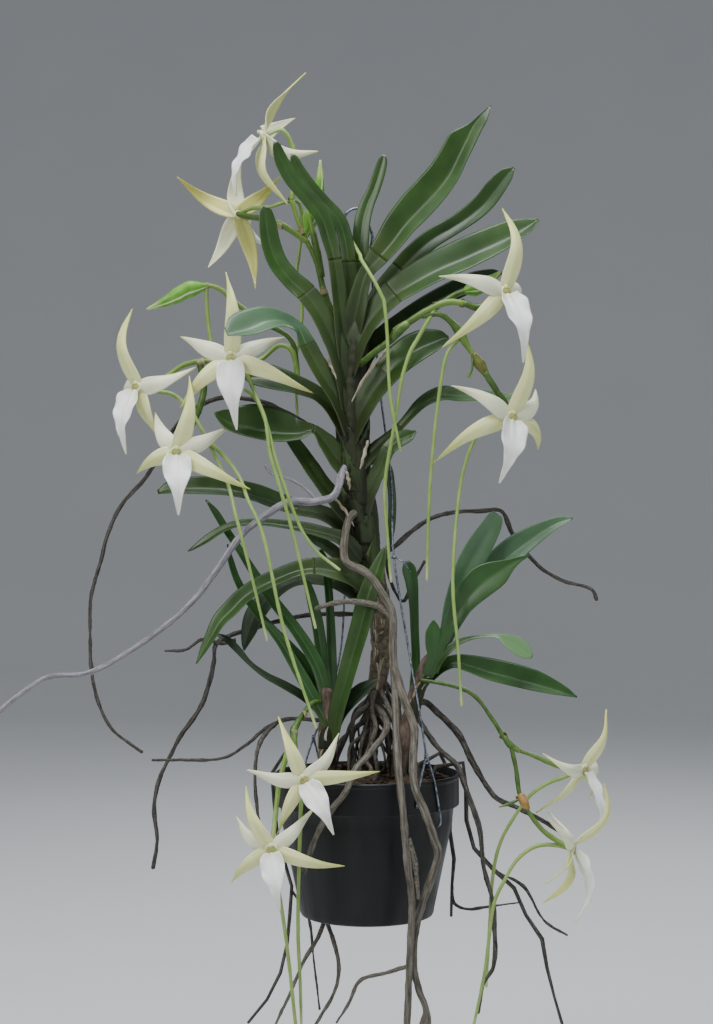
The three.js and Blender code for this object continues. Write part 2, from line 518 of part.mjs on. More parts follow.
const rightShoot = {
  stem: [[36, -14, -594], [46, -22, -530], [52, -24, -506], [60, -26, -475], [70, -28, -450],
    [84, -30, -436]],
  leaves: [
    { face: [0.1, -0.98, 0.1], fold: 0.3, stations: [
      [75, -30, -460, 5, 5], [83, -30, -436, 5, 5], [88, -29, -416, 6, 6], [94, -28, -395, 9, 8],
      [102, -27, -373, 11, 11], [112, -26, -351, 13, 13], [123, -25, -333, 13, 12],
      [132, -24, -318, 11, 10], [137, -23, -307, 8, 8], [139, -23, -304, 5, 5]] },
    { face: [-0.2, -0.9, 0.35], faceTip: [0, -0.85, 0.5], fold: 0.4, stations: [
      [73, -22, -462, 5, 5], [84, -20, -439, 6, 6], [97, -17, -413, 7, 7], [112, -14, -389, 9, 9],
      [128, -12, -369, 12, 12], [145, -11, -352, 15, 13], [161, -10, -339, 15, 11],
      [177, -9, -327, 12, 9], [192, -9, -317, 8, 7], [205, -8, -311, 5.5, 4.5], [215, -8, -308, 1, 1]] },
    { face: [-0.2, -0.9, 0.2], faceTip: [0.1, -0.95, 0.1], fold: 0.3, stations: [
      [72, -29, -462, 5, 5], [82, -37, -437, 4, 4], [90, -42, -416, 5, 5], [97, -44, -403, 8, 8],
      [108, -46, -386, 13, 12], [122, -47, -371, 16, 15], [136, -48, -361, 12, 14],
      [148, -48, -353, 5, 8], [159, -48, -348, 2.5, 3], [169, -48, -344, 0.8, 0.8]] },
    { face: [0.1, -0.98, 0.1], fold: 0.25, stations: [
      [60, -27, -480, 5, 5], [70, -33, -461, 6, 6], [76, -36, -445, 7, 7], [76, -37, -432, 9, 9],
      [75, -38, -420, 8, 8], [75, -38, -412, 4, 4], [75, -38, -408, 1, 1]] },
    { face: [0, -0.8, 0.6], faceTip: [0.3, -0.85, 0.45], fold: 0.35, stations: [
      [71, -29, -463, 5, 5], [85, -38, -442, 5, 5], [98, -41, -431, 3.5, 3.5],
      [111, -42, -426, 2.2, 2.2], [125, -43, -424, 1.8, 1.8], [138, -45, -424, 2.5, 2.5],
      [146, -46, -428, 7, 7], [156, -47, -434, 10, 10], [165, -48, -440, 8, 8], [171, -48, -444, 2, 2]] },
    { face: [0, -0.8, 0.6], faceTip: [0, -0.85, 0.5], fold: 0.5, stations: [
      [72, -24, -466, 6, 6], [84, -26, -456, 7, 6], [97, -27, -451, 8, 7], [111, -28, -454, 11, 9],
      [131, -30, -460, 14, 11], [152, -32, -465, 14, 11], [174, -34, -471, 13, 9],
      [194, -35, -477, 9, 6], [207, -36, -481, 5, 3], [216, -36, -484, 0.8, 0.8]] },
    { face: [0.3, -0.95, 0], fold: 0.25, stations: [
      [55, -22, -494, 5, 5], [56, -18, -476, 4.5, 4.5], [58, -13, -449, 4.5, 4.5],
      [57, -8, -420, 4.5, 4.5], [56, -5, -392, 5, 5], [54, -4, -372, 6.5, 6.5], [51, -3, -358, 7, 7],
      [49, -3, -351, 3, 3]] },
  ],
};

function makeShoot({ stem, leaves }, grow = 0) {
  const core = limb(stem, [7, 8, 8, 7, 6], { sides: 6, flat: 0.8, grow });
  return join([core, ...leaves.map((leaf) => strap({ ...leaf, steps: shootSteps, grow }))]);
}

// Blooms. at is the throat, face the way the bloom looks; the tips are offsets from the throat.

const blooms = {
  bloom_01: { at: [-95, 6, 75], face: [-0.93, -0.1, -0.25], dorsal: [42, 4, 64], petalA: [31, 42, 26],
    petalB: [56, -14, -18], sepalA: [25, -14, -72], sepalB: [20, 16, -62], lip: [-26, -6, -61] },
  bloom_02: { at: [-122, 44, 2], face: [-0.15, 0.95, -0.1], dorsal: [-61, -12, 36], petalA: [5, -10, 60],
    petalB: [-29, -14, -56], sepalA: [43, -14, 35], sepalB: [19, -18, -79], lip: [24, 50, -24] },
  bloom_03: { at: [-218, -20, -179], face: [-0.6, -0.8, 0], dorsal: [-7, 10, 79], petalA: [59, -5, 20],
    petalB: [-14, 60, 8], sepalA: [-24, 34, -46], sepalB: [25, 10, -57], lip: [-9, -12, -66] },
  bloom_04: { at: [-123, -48, -152], face: [-0.08, -0.98, 0.1], dorsal: [-6, 14, 86],
    petalA: [-52, 34, 24], petalB: [51, 30, 23], sepalA: [-52, 22, -47], sepalB: [80, 14, -33],
    lip: [6, -6, -70] },
  bloom_05: { at: [-176, -50, -244], face: [0.1, -0.97, -0.1], dorsal: [12, 8, 75], petalA: [51, 20, 26],
    petalB: [-24, 30, 40], sepalA: [-40, 14, -20], sepalB: [72, -2, -36], lip: [3, -12, -61] },
  bloom_06: { at: [144, -64, -89], face: [0.45, -0.85, 0.1], dorsal: [-1, 20, 84], petalA: [-65, -10, 14],
    petalB: [18, 60, 12], sepalA: [-61, -6, -54], sepalB: [26, 40, -44], lip: [16, -8, -69] },
  bloom_07: { at: [151, -50, -210], face: [0.4, -0.9, 0.1], dorsal: [16, 24, 82], petalA: [-59, -4, 31],
    petalB: [27, 44, 30], sepalA: [-76, 4, -44], sepalB: [30, 42, -29], lip: [-13, -8, -64] },
  bloom_08: { at: [-50, -122, -554], face: [0.3, -0.93, -0.05], dorsal: [-24, 14, 58],
    petalA: [-54, 14, 8], petalB: [33, 20, 42], sepalA: [72, 8, 7], sepalB: [-25, 14, -53],
    lip: [28, -6, -50] },
  bloom_09: { at: [-80, -128, -618], face: [-0.05, -1, -0.1], dorsal: [-25, 12, 57], petalA: [-35, 32, 26],
    petalB: [40, 22, 36], sepalA: [68, 12, -18], sepalB: [-39, 20, -35], lip: [8, -8, -56] },
  bloom_10: { at: [224, -26, -557], face: [0.7, -0.7, 0], dorsal: [26, 20, 58], petalA: [-43, -30, 20],
    petalB: [15, 50, 7], sepalA: [-45, 8, -43], sepalB: [12, 44, -34], lip: [11, -4, -68] },
  bloom_11: { at: [209, -64, -628], face: [0.97, -0.2, -0.1], dorsal: [33, 8, 62], petalA: [-27, -30, 34],
    petalB: [-20, 40, 30], sepalA: [-27, -26, -29], sepalB: [-25, 22, -57], lip: [2, -6, -70] },
};

const tepalCurl = 0.2;
const lipCurl = 0.26;

// A petal, sepal or lip bows out the way the bloom faces before its tip sweeps back
function arched(at, face, tip, curl) {
  const [base, end, look] = [vec(at), vec(tip), vec(face).normalize()];
  const middle = end.clone().multiplyScalar(0.5).addScaledVector(look, curl * end.length());
  return [base, base.clone().add(middle), base.clone().add(end)].map((p) => p.toArray());
}

function makeBloom({ at, face, lip, ...tips }, grow = 0) {
  const tepals = Object.entries(tips).map(([name, tip]) => blade({
    points: arched(at, face, tip, tepalCurl), width: name.startsWith('petal') ? petalWidth : sepalWidth,
    face, shape: tepalShape, fold: -0.18, edge: 0, middle: tepalMid, steps: 4, grow }));
  const shell = blade({ points: arched(at, face, lip, lipCurl), width: lipWidth, face, shape: lipShape,
    fold: 0.3, edge: leafEdge, middle: 1.8, steps: 4, grow });
  const look = vec(face).normalize();
  const back = vec(at).addScaledVector(look, -columnBack - grow).toArray();
  const front = vec(at).addScaledVector(look, columnFront + grow).toArray();
  const column = limb([back, front], [columnRadius, columnRadius * 0.7], { sides: 4, step: 99, grow });
  return join([column, shell, ...tepals]);
}

// The point behind a bloom where its ovary and spur meet
function behind(name, distance = columnBack - 1) {
  const { at, face } = blooms[name];
  return vec(at).addScaledVector(vec(face).normalize(), -distance).toArray();
}

// Flower sprays: stalks and pedicels, buds, bracts and the long nectar spurs

const ovary = [pedicelRadius, pedicelRadius, pedicelRadius * 0.9];
const spurTaper = [spurRadius * 1.25, spurRadius, spurRadius, spurRadius * 0.75];
const bud = [2, 6.5, 7.5, 4, 1];

const sprays = {
  spray_left_top: [
    { radius: [stalkRadius, 3.4, 3, 2.6], points: [
      [-6, -12, -158], [-20, 6, -112], [-33, 10, -81], [-41, 12, -49], [-55, 14, -20], [-66, 14, 12]] },
    { radius: ovary, points: [[-66, 14, 12], [-62, 16, 40], [-66, 14, 68],
      [-76, 10, 82], behind('bloom_01')] },
    { radius: 3.2, points: [behind('bloom_02'), [-112, 30, -2], [-96, 18, -6], [-78, 12, -12],
      [-50, 13, -30]] },
    { radius: spurTaper, points: [
      behind('bloom_02'), [-106, 28, 6], [-87, 18, 6], [-72, 20, 11], [-60, 24, 12], [-56, 26, 0],
      [-58, 24, -36], [-61, 24, -63], [-56, 22, -90], [-57, 22, -120], [-62, 20, -150],
      [-60, 18, -210]] },
    { radius: spurTaper, step: 18, points: [
      behind('bloom_01'), [-74, 10, 62], [-58, 2, 44], [-38, -4, 16], [-22, -10, -8], [-9, -12, -26],
      [-1, -14, -40], [3, -24, -48], [3, -38, -53], [7, -50, -60], [14, -60, -74], [25, -62, -93],
      [29, -64, -127], [32, -66, -190], [42, -66, -242]] },
    { radius: bud, points: [[-52, 14, -26], [-44, 16, 4], [-38, 16, 30], [-37, 16, 52]] },
    { radius: [2, 3.6, 3.4, 1], points: [[-34, 10, -66], [-40, 6, -40], [-45, 6, -18], [-50, 6, 0]] },
  ],
  spray_left_middle: [
    { radius: [stalkRadius, 3, 2.8], points: [
      [-14, -14, -200], [-40, -14, -178], [-80, -12, -164], [-120, -12, -160], [-150, -12, -152],
      [-172, -12, -156], [-190, -12, -168]] },
    { radius: ovary, points: [[-190, -12, -168], [-202, -12, -174], behind('bloom_03')] },
    { radius: 3.6, points: [[-156, -12, -154], [-152, -14, -180], [-160, -18, -208], [-170, -28, -226],
      behind('bloom_05')] },
    { radius: ovary, points: [[-58, -13, -170], [-66, -8, -140], [-78, -4, -136], [-96, -6, -150],
      [-112, -22, -152], behind('bloom_04')] },
    { radius: 2.4, points: [[-58, -13, -170], [-66, -4, -130], [-96, -4, -112], [-120, -4, -94],
      [-138, -6, -79], [-150, -8, -76]] },
    { radius: bud, points: [[-148, -8, -76], [-156, -8, -78], [-167, -8, -80], [-186, -8, -90],
      [-209, -8, -100]] },
    { radius: spurTaper, points: [
      [-150, -8, -77], [-150, -2, -96], [-146, -2, -130], [-132, -12, -170], [-104, -30, -186],
      [-88, -56, -216], [-80, -66, -246], [-69, -68, -280], [-53, -68, -320], [-39, -66, -340],
      [-17, -64, -358]] },
    { radius: spurTaper, points: [
      behind('bloom_04'), [-116, -30, -154], [-106, -36, -172], [-98, -52, -190], [-89, -62, -212],
      [-84, -68, -246], [-74, -70, -280], [-62, -70, -322], [-40, -68, -414]] },
    { radius: spurTaper, points: [
      behind('bloom_03'), [-202, -14, -182], [-184, -16, -185], [-166, -22, -200], [-158, -26, -212],
      [-142, -32, -242], [-126, -42, -276], [-118, -60, -304], [-108, -65, -340], [-87, -64, -426]] },
    { radius: spurTaper, points: [
      behind('bloom_05'), [-168, -34, -238], [-150, -34, -232], [-130, -34, -248], [-115, -42, -268],
      [-106, -58, -290], [-92, -70, -320], [-70, -82, -415], [-39, -92, -508]] },
  ],
  spray_right_top: [
    { radius: [3, 3.4, 3.2], points: [
      [2, -28, -158], [12, -48, -150], [34, -57, -134], [46, -58, -121], [77, -58, -102], [90, -57, -98],
      [103, -56, -99]] },
    { radius: [3.6, 5.5, 4], points: [[33, -57, -135], [41, -58, -125], [49, -58, -119]] },
    { radius: [3, 4.4, 3.4], points: [[103, -56, -99], [118, -54, -103],
      [134, -54, -98], behind('bloom_06')] },
    { radius: [2.4, 2.6, 3], points: [[77, -58, -102], [96, -50, -90], [112, -44, -84]] },
    { radius: bud, points: [[104, -48, -87], [116, -42, -82], [128, -38, -76], [140, -34, -66]] },
    { radius: [2.6, 2.6, 3, 5, 3.4, 2], points: [
      [63, -58, -112], [80, -58, -110], [96, -56, -122], [106, -56, -138], [115, -56, -152]] },
    { radius: [3, 6, 3.4], points: [[113, -56, -148], [120, -56, -159], [126, -56, -169]] },
    { radius: 3.2, points: [[124, -58, -166], [138, -50, -187], [146, -44, -197], behind('bloom_07')] },
    { radius: [1.2, 1, 1.4], points: [[112, -56, -150], [112, -60, -162], [108, -60, -171]] },
    { radius: spurTaper, points: [
      [75, -58, -105], [60, -59, -132], [52, -60, -146], [44, -61, -171], [36, -58, -219],
      [27, -53, -278], [30, -52, -330], [33, -52, -370]] },
    { radius: spurTaper, points: [
      behind('bloom_06'), [134, -44, -102], [112, -44, -122], [96, -48, -137], [88, -52, -147],
      [80, -54, -187], [71, -52, -278], [68, -50, -368]] },
    { radius: spurTaper, points: [
      behind('bloom_07'), [142, -38, -218], [128, -36, -214], [120, -36, -222], [107, -38, -252],
      [101, -42, -278], [93, -58, -370], [98, -66, -438], [101, -66, -489]] },
  ],
  spray_left_low: [
    { radius: 2.6, points: [
      [-36, -40, -488], [-44, -58, -488], [-52, -78, -497], [-59, -96, -508], [-58, -108, -528],
      behind('bloom_08')] },
    { radius: [3, 5.5, 3], points: [[-56, -88, -503], [-60, -96, -509], [-60, -103, -519]] },
    { radius: ovary, points: [
      [-60, -97, -511], [-68, -98, -536], [-74, -104, -562], [-77, -112, -588], [-79, -119, -606],
      behind('bloom_09')] },
    { radius: spurTaper, points: [
      behind('bloom_08'), [-53, -108, -582], [-55, -104, -640], [-56, -102, -700], [-54, -98, -750],
      [-53, -96, -790]] },
    { radius: spurTaper, points: [
      behind('bloom_09'), [-77, -114, -640], [-68, -108, -700], [-60, -106, -770], [-54, -104, -840],
      [-55, -104, -890]] },
  ],
  spray_right_low: [
    { radius: [2, 2, 2, 3], points: [
      [62, -34, -467], [92, -38, -472], [109, -40, -478], [119, -41, -486], [134, -44, -507],
      [150, -46, -530], [174, -42, -541], [196, -34, -551], behind('bloom_10')] },
    { radius: [2.6, 5, 3], points: [[143, -45, -521], [150, -46, -530], [158, -46, -535]] },
    { radius: [2, 2.2, 2.8], points: [
      [150, -46, -530], [155, -50, -552], [158, -54, -575], [163, -58, -587], [171, -60, -600],
      [183, -61, -613], behind('bloom_11')] },
    { radius: [3, 6.5, 4], points: [[157, -54, -573], [162, -57, -583], [168, -59, -594]] },
    { radius: [1, 3.4, 1], points: [[160, -56, -580], [149, -58, -585], [138, -60, -588]] },
    { radius: spurTaper, points: [
      behind('bloom_10'), [203, -32, -563], [186, -36, -569], [170, -38, -580], [155, -38, -600],
      [141, -36, -626], [134, -36, -655], [130, -36, -712], [127, -36, -768]] },
    { radius: spurTaper, points: [
      behind('bloom_11'), [192, -60, -625], [174, -61, -626], [156, -62, -638], [142, -64, -660],
      [133, -64, -680], [124, -64, -745], [112, -62, -805]] },
  ],
};

const sprayFacets = { sides: 4, step: 52 };
const rootFacets = { sides: 5, step: 50 };

function makeBranches(list, facets, grow = 0) {
  return join(list.map(({ points, radius, step = facets.step }) => (
    limb(points, radius, { sides: facets.sides, step, grow }))));
}

// Aerial roots. Each group starts at a stem, the rim or a drain hole and tapers to a blunt tip.

const thick = [4.2, 4, 4, 3.6, 3.2];
const medium = [3.4, 3.2, 3, 2.6, 2];
const fine = [2.2, 2, 1.8, 1.4];

const roots = {
  root_left_grey: { finish: rootGrey, limbs: [
    { radius: [5, 4.6, 4, 3.6, 3, 2.8, 2.4], points: [
      [-10, -24, -255], [-16, -38, -268], [-18, -43, -278], [-24, -45, -287], [-41, -46, -292],
      [-66, -46, -292], [-90, -48, -306], [-113, -50, -325], [-135, -50, -356], [-161, -50, -390],
      [-189, -50, -415], [-222, -50, -438], [-262, -50, -459], [-301, -50, -463], [-329, -50, -480],
      [-356, -50, -502]] },
    { radius: [1.6, 1.4, 1.2, 1.8], points: [[-38, -46, -292], [-52, -44, -278], [-66, -42, -270],
      [-84, -42, -264], [-90, -44, -256]] },
  ] },
  root_left_arc: { finish: rootDark, limbs: [
    { radius: [3, 2.8, 2.6, 2.4, 2.2, 2], points: [
      [-14, -6, -246], [-33, 0, -228], [-46, 2, -217], [-88, 6, -194], [-112, 10, -188], [-142, 12, -188],
      [-178, 12, -211], [-212, 10, -267], [-236, 8, -294], [-250, 4, -325], [-257, 2, -353],
      [-266, 0, -387], [-267, 0, -426], [-266, 0, -454], [-260, 0, -488], [-245, 0, -519],
      [-215, 0, -542]] },
  ] },
  root_left_hanging: { finish: rootDark, limbs: [
    { radius: [2.6, 2.6, 2.4, 2.6, 2.2, 2], points: [
      [20, -1, -406], [2, 11, -405], [-50, 14, -406], [-100, 16, -418], [-141, 12, -434],
      [-144, 8, -454], [-155, 6, -494], [-177, 6, -527], [-189, 6, -550], [-197, 4, -567],
      [-203, 2, -595], [-200, 0, -631], [-204, 0, -658]] },
    { radius: fine, points: [[-122, 13.5, -431], [-136, 11, -434], [-155, 8, -430], [-172, 4, -440],
      [-192, 2, -441]] },
  ] },
  root_left_low: { finish: rootDark, limbs: [
    { radius: medium, points: [
      [-31, -30, -508], [-46, -24, -507], [-68, -20, -507], [-90, -20, -516], [-110, -18, -533],
      [-133, -16, -546], [-177, -16, -548], [-203, -16, -548]] },
    { radius: fine, points: [[-80, -20, -511], [-92, -46, -522], [-97, -66, -536], [-98, -76, -567],
      [-92, -82, -614]] },
  ] },
  root_centre: { finish: rootGrey, limbs: [
    { radius: [4.6, 4.6, 4.4, 4.2, 4], points: [
      [4, -19, -300], [-6, -29, -306], [-11, -38, -322], [-11, -46, -350], [10, -56, -362],
      [25, -58, -382], [34, -60, -400], [35, -60, -444], [37, -66, -476], [38, -82, -520],
      [40, -97, -550], [43, -103, -580], [48, -104, -636], [52, -100, -669], [50, -96, -730],
      [47, -92, -814]] },
    { radius: thick, points: [
      [35, -60, -450], [46, -72, -484], [55, -84, -511], [53, -96, -540], [55, -104, -563],
      [64, -105, -586], [73, -102, -611], [77, -98, -627], [73, -94, -644], [62, -90, -677],
      [56, -88, -702], [54, -86, -730], [58, -86, -755], [66, -86, -779], [69, -86, -812]] },
    { radius: fine, points: [[66, -86, -779], [60, -86, -798], [56, -86, -814]] },
    { radius: medium, points: [[48, -103, -612], [54, -102, -632], [58, -99, -669]] },
    { radius: medium, points: [[34, -60, -404], [21, -56, -394], [-6, -56, -389], [-24, -56, -391],
      [-40, -56, -396]] },
    { radius: fine, points: [[50, -96, -734], [29, -80, -744], [2, -70, -755], [-7, -68, -775],
      [-20, -66, -796]] },
  ] },
  root_front: { finish: rootGrey, limbs: [
    { radius: thick, points: [
      [17, -6, -494], [26, -22, -502], [29, -40, -514], [12, -66, -536], [-2, -92, -548],
      [-10, -103, -566], [-30, -101, -593], [-41, -98, -616], [-51, -94, -646]] },
  ] },
  root_right_arc: { finish: rootDark, limbs: [
    { radius: [3, 2.8, 2.6, 2.6, 2.4, 2.2], points: [
      [12, -4, -350], [37, 4, -337], [54, 6, -322], [75, 6, -308], [99, 6, -302], [121, 8, -301],
      [145, 10, -301], [152, 12, -313], [156, 14, -323], [165, 14, -336], [173, 14, -346],
      [187, 12, -360], [207, 8, -371], [236, 4, -380], [240, 4, -390]] },
    { radius: fine, points: [[28, 0, -341], [34, 10, -372], [46, 14, -392], [58, 16, -370],
      [68, 16, -352]] },
  ] },
  root_right_low: { finish: rootDark, limbs: [
    { radius: [4, 4, 3.6, 3, 2.4], points: [
      [54, -20, -496], [66, -16, -490], [82, -16, -503], [99, -18, -520], [119, -20, -558],
      [137, -22, -584], [157, -20, -594], [183, -22, -607], [201, -22, -618]] },
    { radius: medium, points: [
      [54, -20, -496], [66, -26, -515], [82, -38, -536], [97, -46, -549], [109, -50, -580],
      [119, -50, -609], [124, -50, -650], [132, -50, -681], [134, -50, -707], [133, -50, -745],
      [123, -50, -763], [118, -50, -790]] },
  ] },
  root_rim_right: { finish: rootDark, limbs: [
    { radius: medium, step: 30, points: [
      [66, -2, -582], [74, -2, -562], [90, -2, -550], [108, -2, -554], [109, -2, -580],
      [109, -2, -606], [113, -2, -628], [127, -2, -653], [152, -2, -668], [163, -2, -696],
      [183, -2, -724], [191, -2, -763], [205, -2, -814]] },
    { radius: fine, points: [[140, -2, -662], [166, 2, -676], [188, 6, -712], [211, 8, -727]] },
  ] },
  root_rim_back: { finish: rootDark, limbs: [
    { radius: medium, step: 30, points: [
      [52, 34, -584], [62, 42, -562], [80, 56, -550], [94, 65, -556], [96, 58, -585], [96, 54, -610],
      [95, 46, -639], [99, 42, -655], [97, 40, -676], [96, 40, -714]] },
    { radius: fine, points: [[97, 40, -680], [99, 36, -700], [111, 30, -705], [137, 26, -701],
      [163, 22, -697]] },
  ] },
  root_rim_left: { finish: rootDark, limbs: [
    { radius: medium, step: 30, points: [
      [-38, 24, -584], [-50, 31, -562], [-69, 43, -550], [-85, 54, -556], [-86, 55, -590],
      [-80, 50, -640], [-66, 46, -690], [-70, 34, -723], [-73, 24, -755], [-89, 12, -790],
      [-109, 2, -813]] },
    { radius: fine, points: [[-66, 46, -690], [-50, 40, -715], [-44, 34, -757], [-38, 28, -806]] },
  ] },
  root_drain: { finish: rootGrey, limbs: [
    { radius: medium, points: [
      [-31, 13.3, -686], [-31, 13.3, -702], [-33, 12, -714], [-40, 4, -730], [-52, -4, -748],
      [-66, -8, -780], [-82, -10, -814]] },
    { radius: medium, points: [
      [-31, 13.3, -700], [-30, 10, -714], [-24, 2, -730], [-18, -4, -757], [-22, -6, -779],
      [-42, -8, -814]] },
  ] },
};

// Tie: a ring of thin wire round the right hanger wire, with a free tail

function makeTie() {
  const ring = new THREE.TorusGeometry(2.3, 0.6, 4, 9);
  ring.rotateX(-0.28);
  ring.rotateY(-0.14);
  ring.translate(36.6, -17.6, -347);
  const tail = wire([[38.9, -17.8, -347], [45, -20, -351], [53, -22, -361]], 0.6, 3, 4);
  return join([fromGeometry(ring), tail]);
}

// Assembly: what grows from a carrier is seated on it, with a hair of clearance

const orchid = new THREE.Group();
orchid.name = 'potted_comet_orchid';

function place(name, solid, look) {
  const mesh = new THREE.Mesh(toGeometry(largest(solid)), new THREE.MeshStandardMaterial(look));
  mesh.name = name;
  orchid.add(mesh);
}

const stem = makeStem();
const stemRoom = makeStem(gap);
const seated = (solid, ...rooms) => largest(rooms.reduce((rest, room) => rest.subtract(room), solid));

const shoots = { shoot_left: makeShoot(leftShoot), shoot_right: makeShoot(rightShoot) };
const shootRooms = [leftShoot, rightShoot].map((shoot) => makeShoot(shoot, gap));
const bloomRooms = Object.values(blooms).map((bloom) => makeBloom(bloom, gap));

place('pot', makePot(), potBlack);

const sunkRoots = ['root_rim_right', 'root_rim_back', 'root_rim_left', 'root_front', 'root_drain'];
const rootRooms = sunkRoots.map((name) => makeBranches(roots[name].limbs, rootFacets, gap));
place('bark_medium', seated(makeBark(), stemRoom, ...shootRooms, ...rootRooms), barkBrown);

place('hanger_hook', makeHook(), steelGrey);
place('hanger_wire_right', makeWire(rightWirePath, rightClip), steelGrey);
place('hanger_wire_left', makeWire(leftWirePath, leftClip), steelGrey);
place('plant_tie', makeTie(), steelGrey);

place('main_stem', stem, stemBrown);
for (const [name, leaf] of Object.entries(stemLeaves)) {
  const steps = Math.min(leafSteps, leaf.stations.length - leaf.foot);
  place(name, seated(strap({ ...leaf, steps, first: leaf.foot - 0.3 }), stemRoom), leafGreen);
}
place('shoot_left', shoots.shoot_left, youngGreen);
place('shoot_right', shoots.shoot_right, youngGreen);

for (const [name, bloom] of Object.entries(blooms)) {
  place(name, makeBloom(bloom), bloomWhite);
}
for (const [name, parts] of Object.entries(sprays)) {
  place(name, seated(makeBranches(parts, sprayFacets), stemRoom, ...shootRooms, ...bloomRooms), sprayGreen);
}
for (const [name, { finish: look, limbs }] of Object.entries(roots)) {
  place(name, seated(makeBranches(limbs, rootFacets), stemRoom, ...shootRooms), look);
}

export default orchid;
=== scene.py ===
# Potted comet orchid on a forked wire hanger, dressed over its imported frame.
# Points listed here are millimetres in the part's frame: +X right, -Y to the front, +Z up.
import math
import random

import bmesh
import bpy
from mathutils import Matrix, Vector, noise


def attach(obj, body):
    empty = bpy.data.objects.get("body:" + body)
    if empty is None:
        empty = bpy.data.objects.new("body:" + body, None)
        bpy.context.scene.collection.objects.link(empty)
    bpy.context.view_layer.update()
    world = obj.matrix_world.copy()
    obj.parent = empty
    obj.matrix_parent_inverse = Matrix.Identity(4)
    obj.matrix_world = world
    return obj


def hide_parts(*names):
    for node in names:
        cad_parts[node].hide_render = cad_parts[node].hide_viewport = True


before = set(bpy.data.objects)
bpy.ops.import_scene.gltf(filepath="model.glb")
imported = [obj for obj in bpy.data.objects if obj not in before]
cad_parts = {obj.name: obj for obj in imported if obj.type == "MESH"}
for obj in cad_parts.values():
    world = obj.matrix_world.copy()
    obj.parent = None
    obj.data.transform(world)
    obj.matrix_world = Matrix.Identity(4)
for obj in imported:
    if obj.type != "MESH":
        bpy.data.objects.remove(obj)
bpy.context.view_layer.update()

mm = 0.001
print("frame loaded:", len(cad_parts), "nodes")

# Camera, lights and floor

studio = {
    "distance": 2.0, "across": -0.0005, "height": -0.302, "lens": 70.3125, "sensor": 36.0,
    "aim": (0.0, 0.0, -0.3), "skyTint": (0.78, 0.81, 0.85, 1.0), "skyStrength": 0.34,
    # disc lights: where each stands, how wide it is, its power and its tint
    "softboxes": {
        "overheadSoftbox": ((-0.2, -0.7, 2.2), 2.0, 105.0, (0.95, 0.98, 1.0)),
        "keySoftbox": ((-1.6, -1.9, 0.9), 1.2, 30.0, (1.0, 0.98, 0.95)),
        "fillSoftbox": ((2.0, -1.6, 0.2), 1.6, 12.0, (0.94, 0.97, 1.0)),
        "rimSoftbox": ((0.9, 1.9, 1.4), 1.2, 26.0, (1.0, 1.0, 1.0)),
    },
    # a shallow round bowl: flat under the plant and rising far behind it, so no edge shows
    "floorHeight": -0.97, "floorSteps": 96, "floorProfile": [
        (0, 0), (2.0, 0), (4.6, 0), (5.4, 0.1), (6.2, 0.4), (6.9, 1.0), (7.4, 1.8), (7.7, 2.8), (7.8, 4.0)],
}


def setStudio():
    lens = bpy.data.cameras.new("frontCamera")
    lens.sensor_fit, lens.sensor_height, lens.lens = "VERTICAL", studio["sensor"], studio["lens"]
    camera = bpy.data.objects.new("frontCamera", lens)
    camera.location = (studio["across"], -studio["distance"], studio["height"])
    camera.rotation_euler = (math.pi / 2, 0.0, 0.0)
    bpy.context.collection.objects.link(camera)
    bpy.context.scene.camera = camera

    for name, (spot, size, power, tint) in studio["softboxes"].items():
        light = bpy.data.lights.new(name, "AREA")
        light.shape, light.size, light.energy, light.color = "DISK", size, power, tint
        obj = bpy.data.objects.new(name, light)
        obj.location = spot
        obj.rotation_euler = (Vector(studio["aim"]) - obj.location).to_track_quat("-Z", "Y").to_euler()
        bpy.context.collection.objects.link(obj)

    world = bpy.data.worlds.new("studioSky")
    world.use_nodes = True
    sky = world.node_tree.nodes["Background"]
    sky.inputs["Color"].default_value = studio["skyTint"]
    sky.inputs["Strength"].default_value = studio["skyStrength"]
    bpy.context.scene.world = world


setStudio()
print("studio set")

# Paths and sheets

spanSteps = 12  # fine steps between two given points


def finePath(points):
    # A smooth curve through the points
    spots = [Vector(p) for p in points]
    spots = [spots[0] * 2 - spots[1]] + spots + [spots[-1] * 2 - spots[-2]]
    fine = []
    for a, b, c, d in zip(spots, spots[1:], spots[2:], spots[3:]):
        before, here, after = (max((q - p).length, 1e-4) ** 0.5 for p, q in ((a, b), (b, c), (c, d)))
        into = ((b - a) / before - (c - a) / (before + here) + (c - b) / here) * here
        out = ((c - b) / here - (d - b) / (here + after) + (d - c) / after) * here
        for k in range(spanSteps):
            t = k / spanSteps
            fine.append(b + into * t + (3 * (c - b) - 2 * into - out) * t ** 2 + (2 * (b - c) + into + out) * t ** 3)
    fine.append(spots[-2])
    return fine


def evenSteps(fine, count, first=0, last=None):
    # Even steps between two places of a fine path: each spot, and how many fine steps along it lies
    reach = [0.0]
    for p, q in zip(fine, fine[1:]):
        reach.append(reach[-1] + (q - p).length)
    last = len(fine) - 1 if last is None else last
    steps, j = [], first
    for i in range(count + 1):
        want = reach[first] + (reach[last] - reach[first]) * i / count
        while j < len(fine) - 2 and reach[j + 1] < want:
            j += 1
        part = (want - reach[j]) / max(reach[j + 1] - reach[j], 1e-6)
        steps.append((fine[j].lerp(fine[j + 1], part), j + part))
    return steps


def smoothPath(points, count):
    return [spot for spot, _ in evenSteps(finePath(points), count)]


def pathLength(points):
    path = smoothPath(points, 40)
    return sum((q - p).length for p, q in zip(path, path[1:]))


def tangents(path):
    ends = [path[0]] + path + [path[-1]]
    return [(c - a).normalized() for a, c in zip(ends, ends[2:])]


def readAlong(values, t):
    if isinstance(values, (int, float)):
        return values
    s = min(max(t, 0.0), 0.99999) * (len(values) - 1)
    i = int(s)
    return values[i] + (values[i + 1] - values[i]) * (s - i)


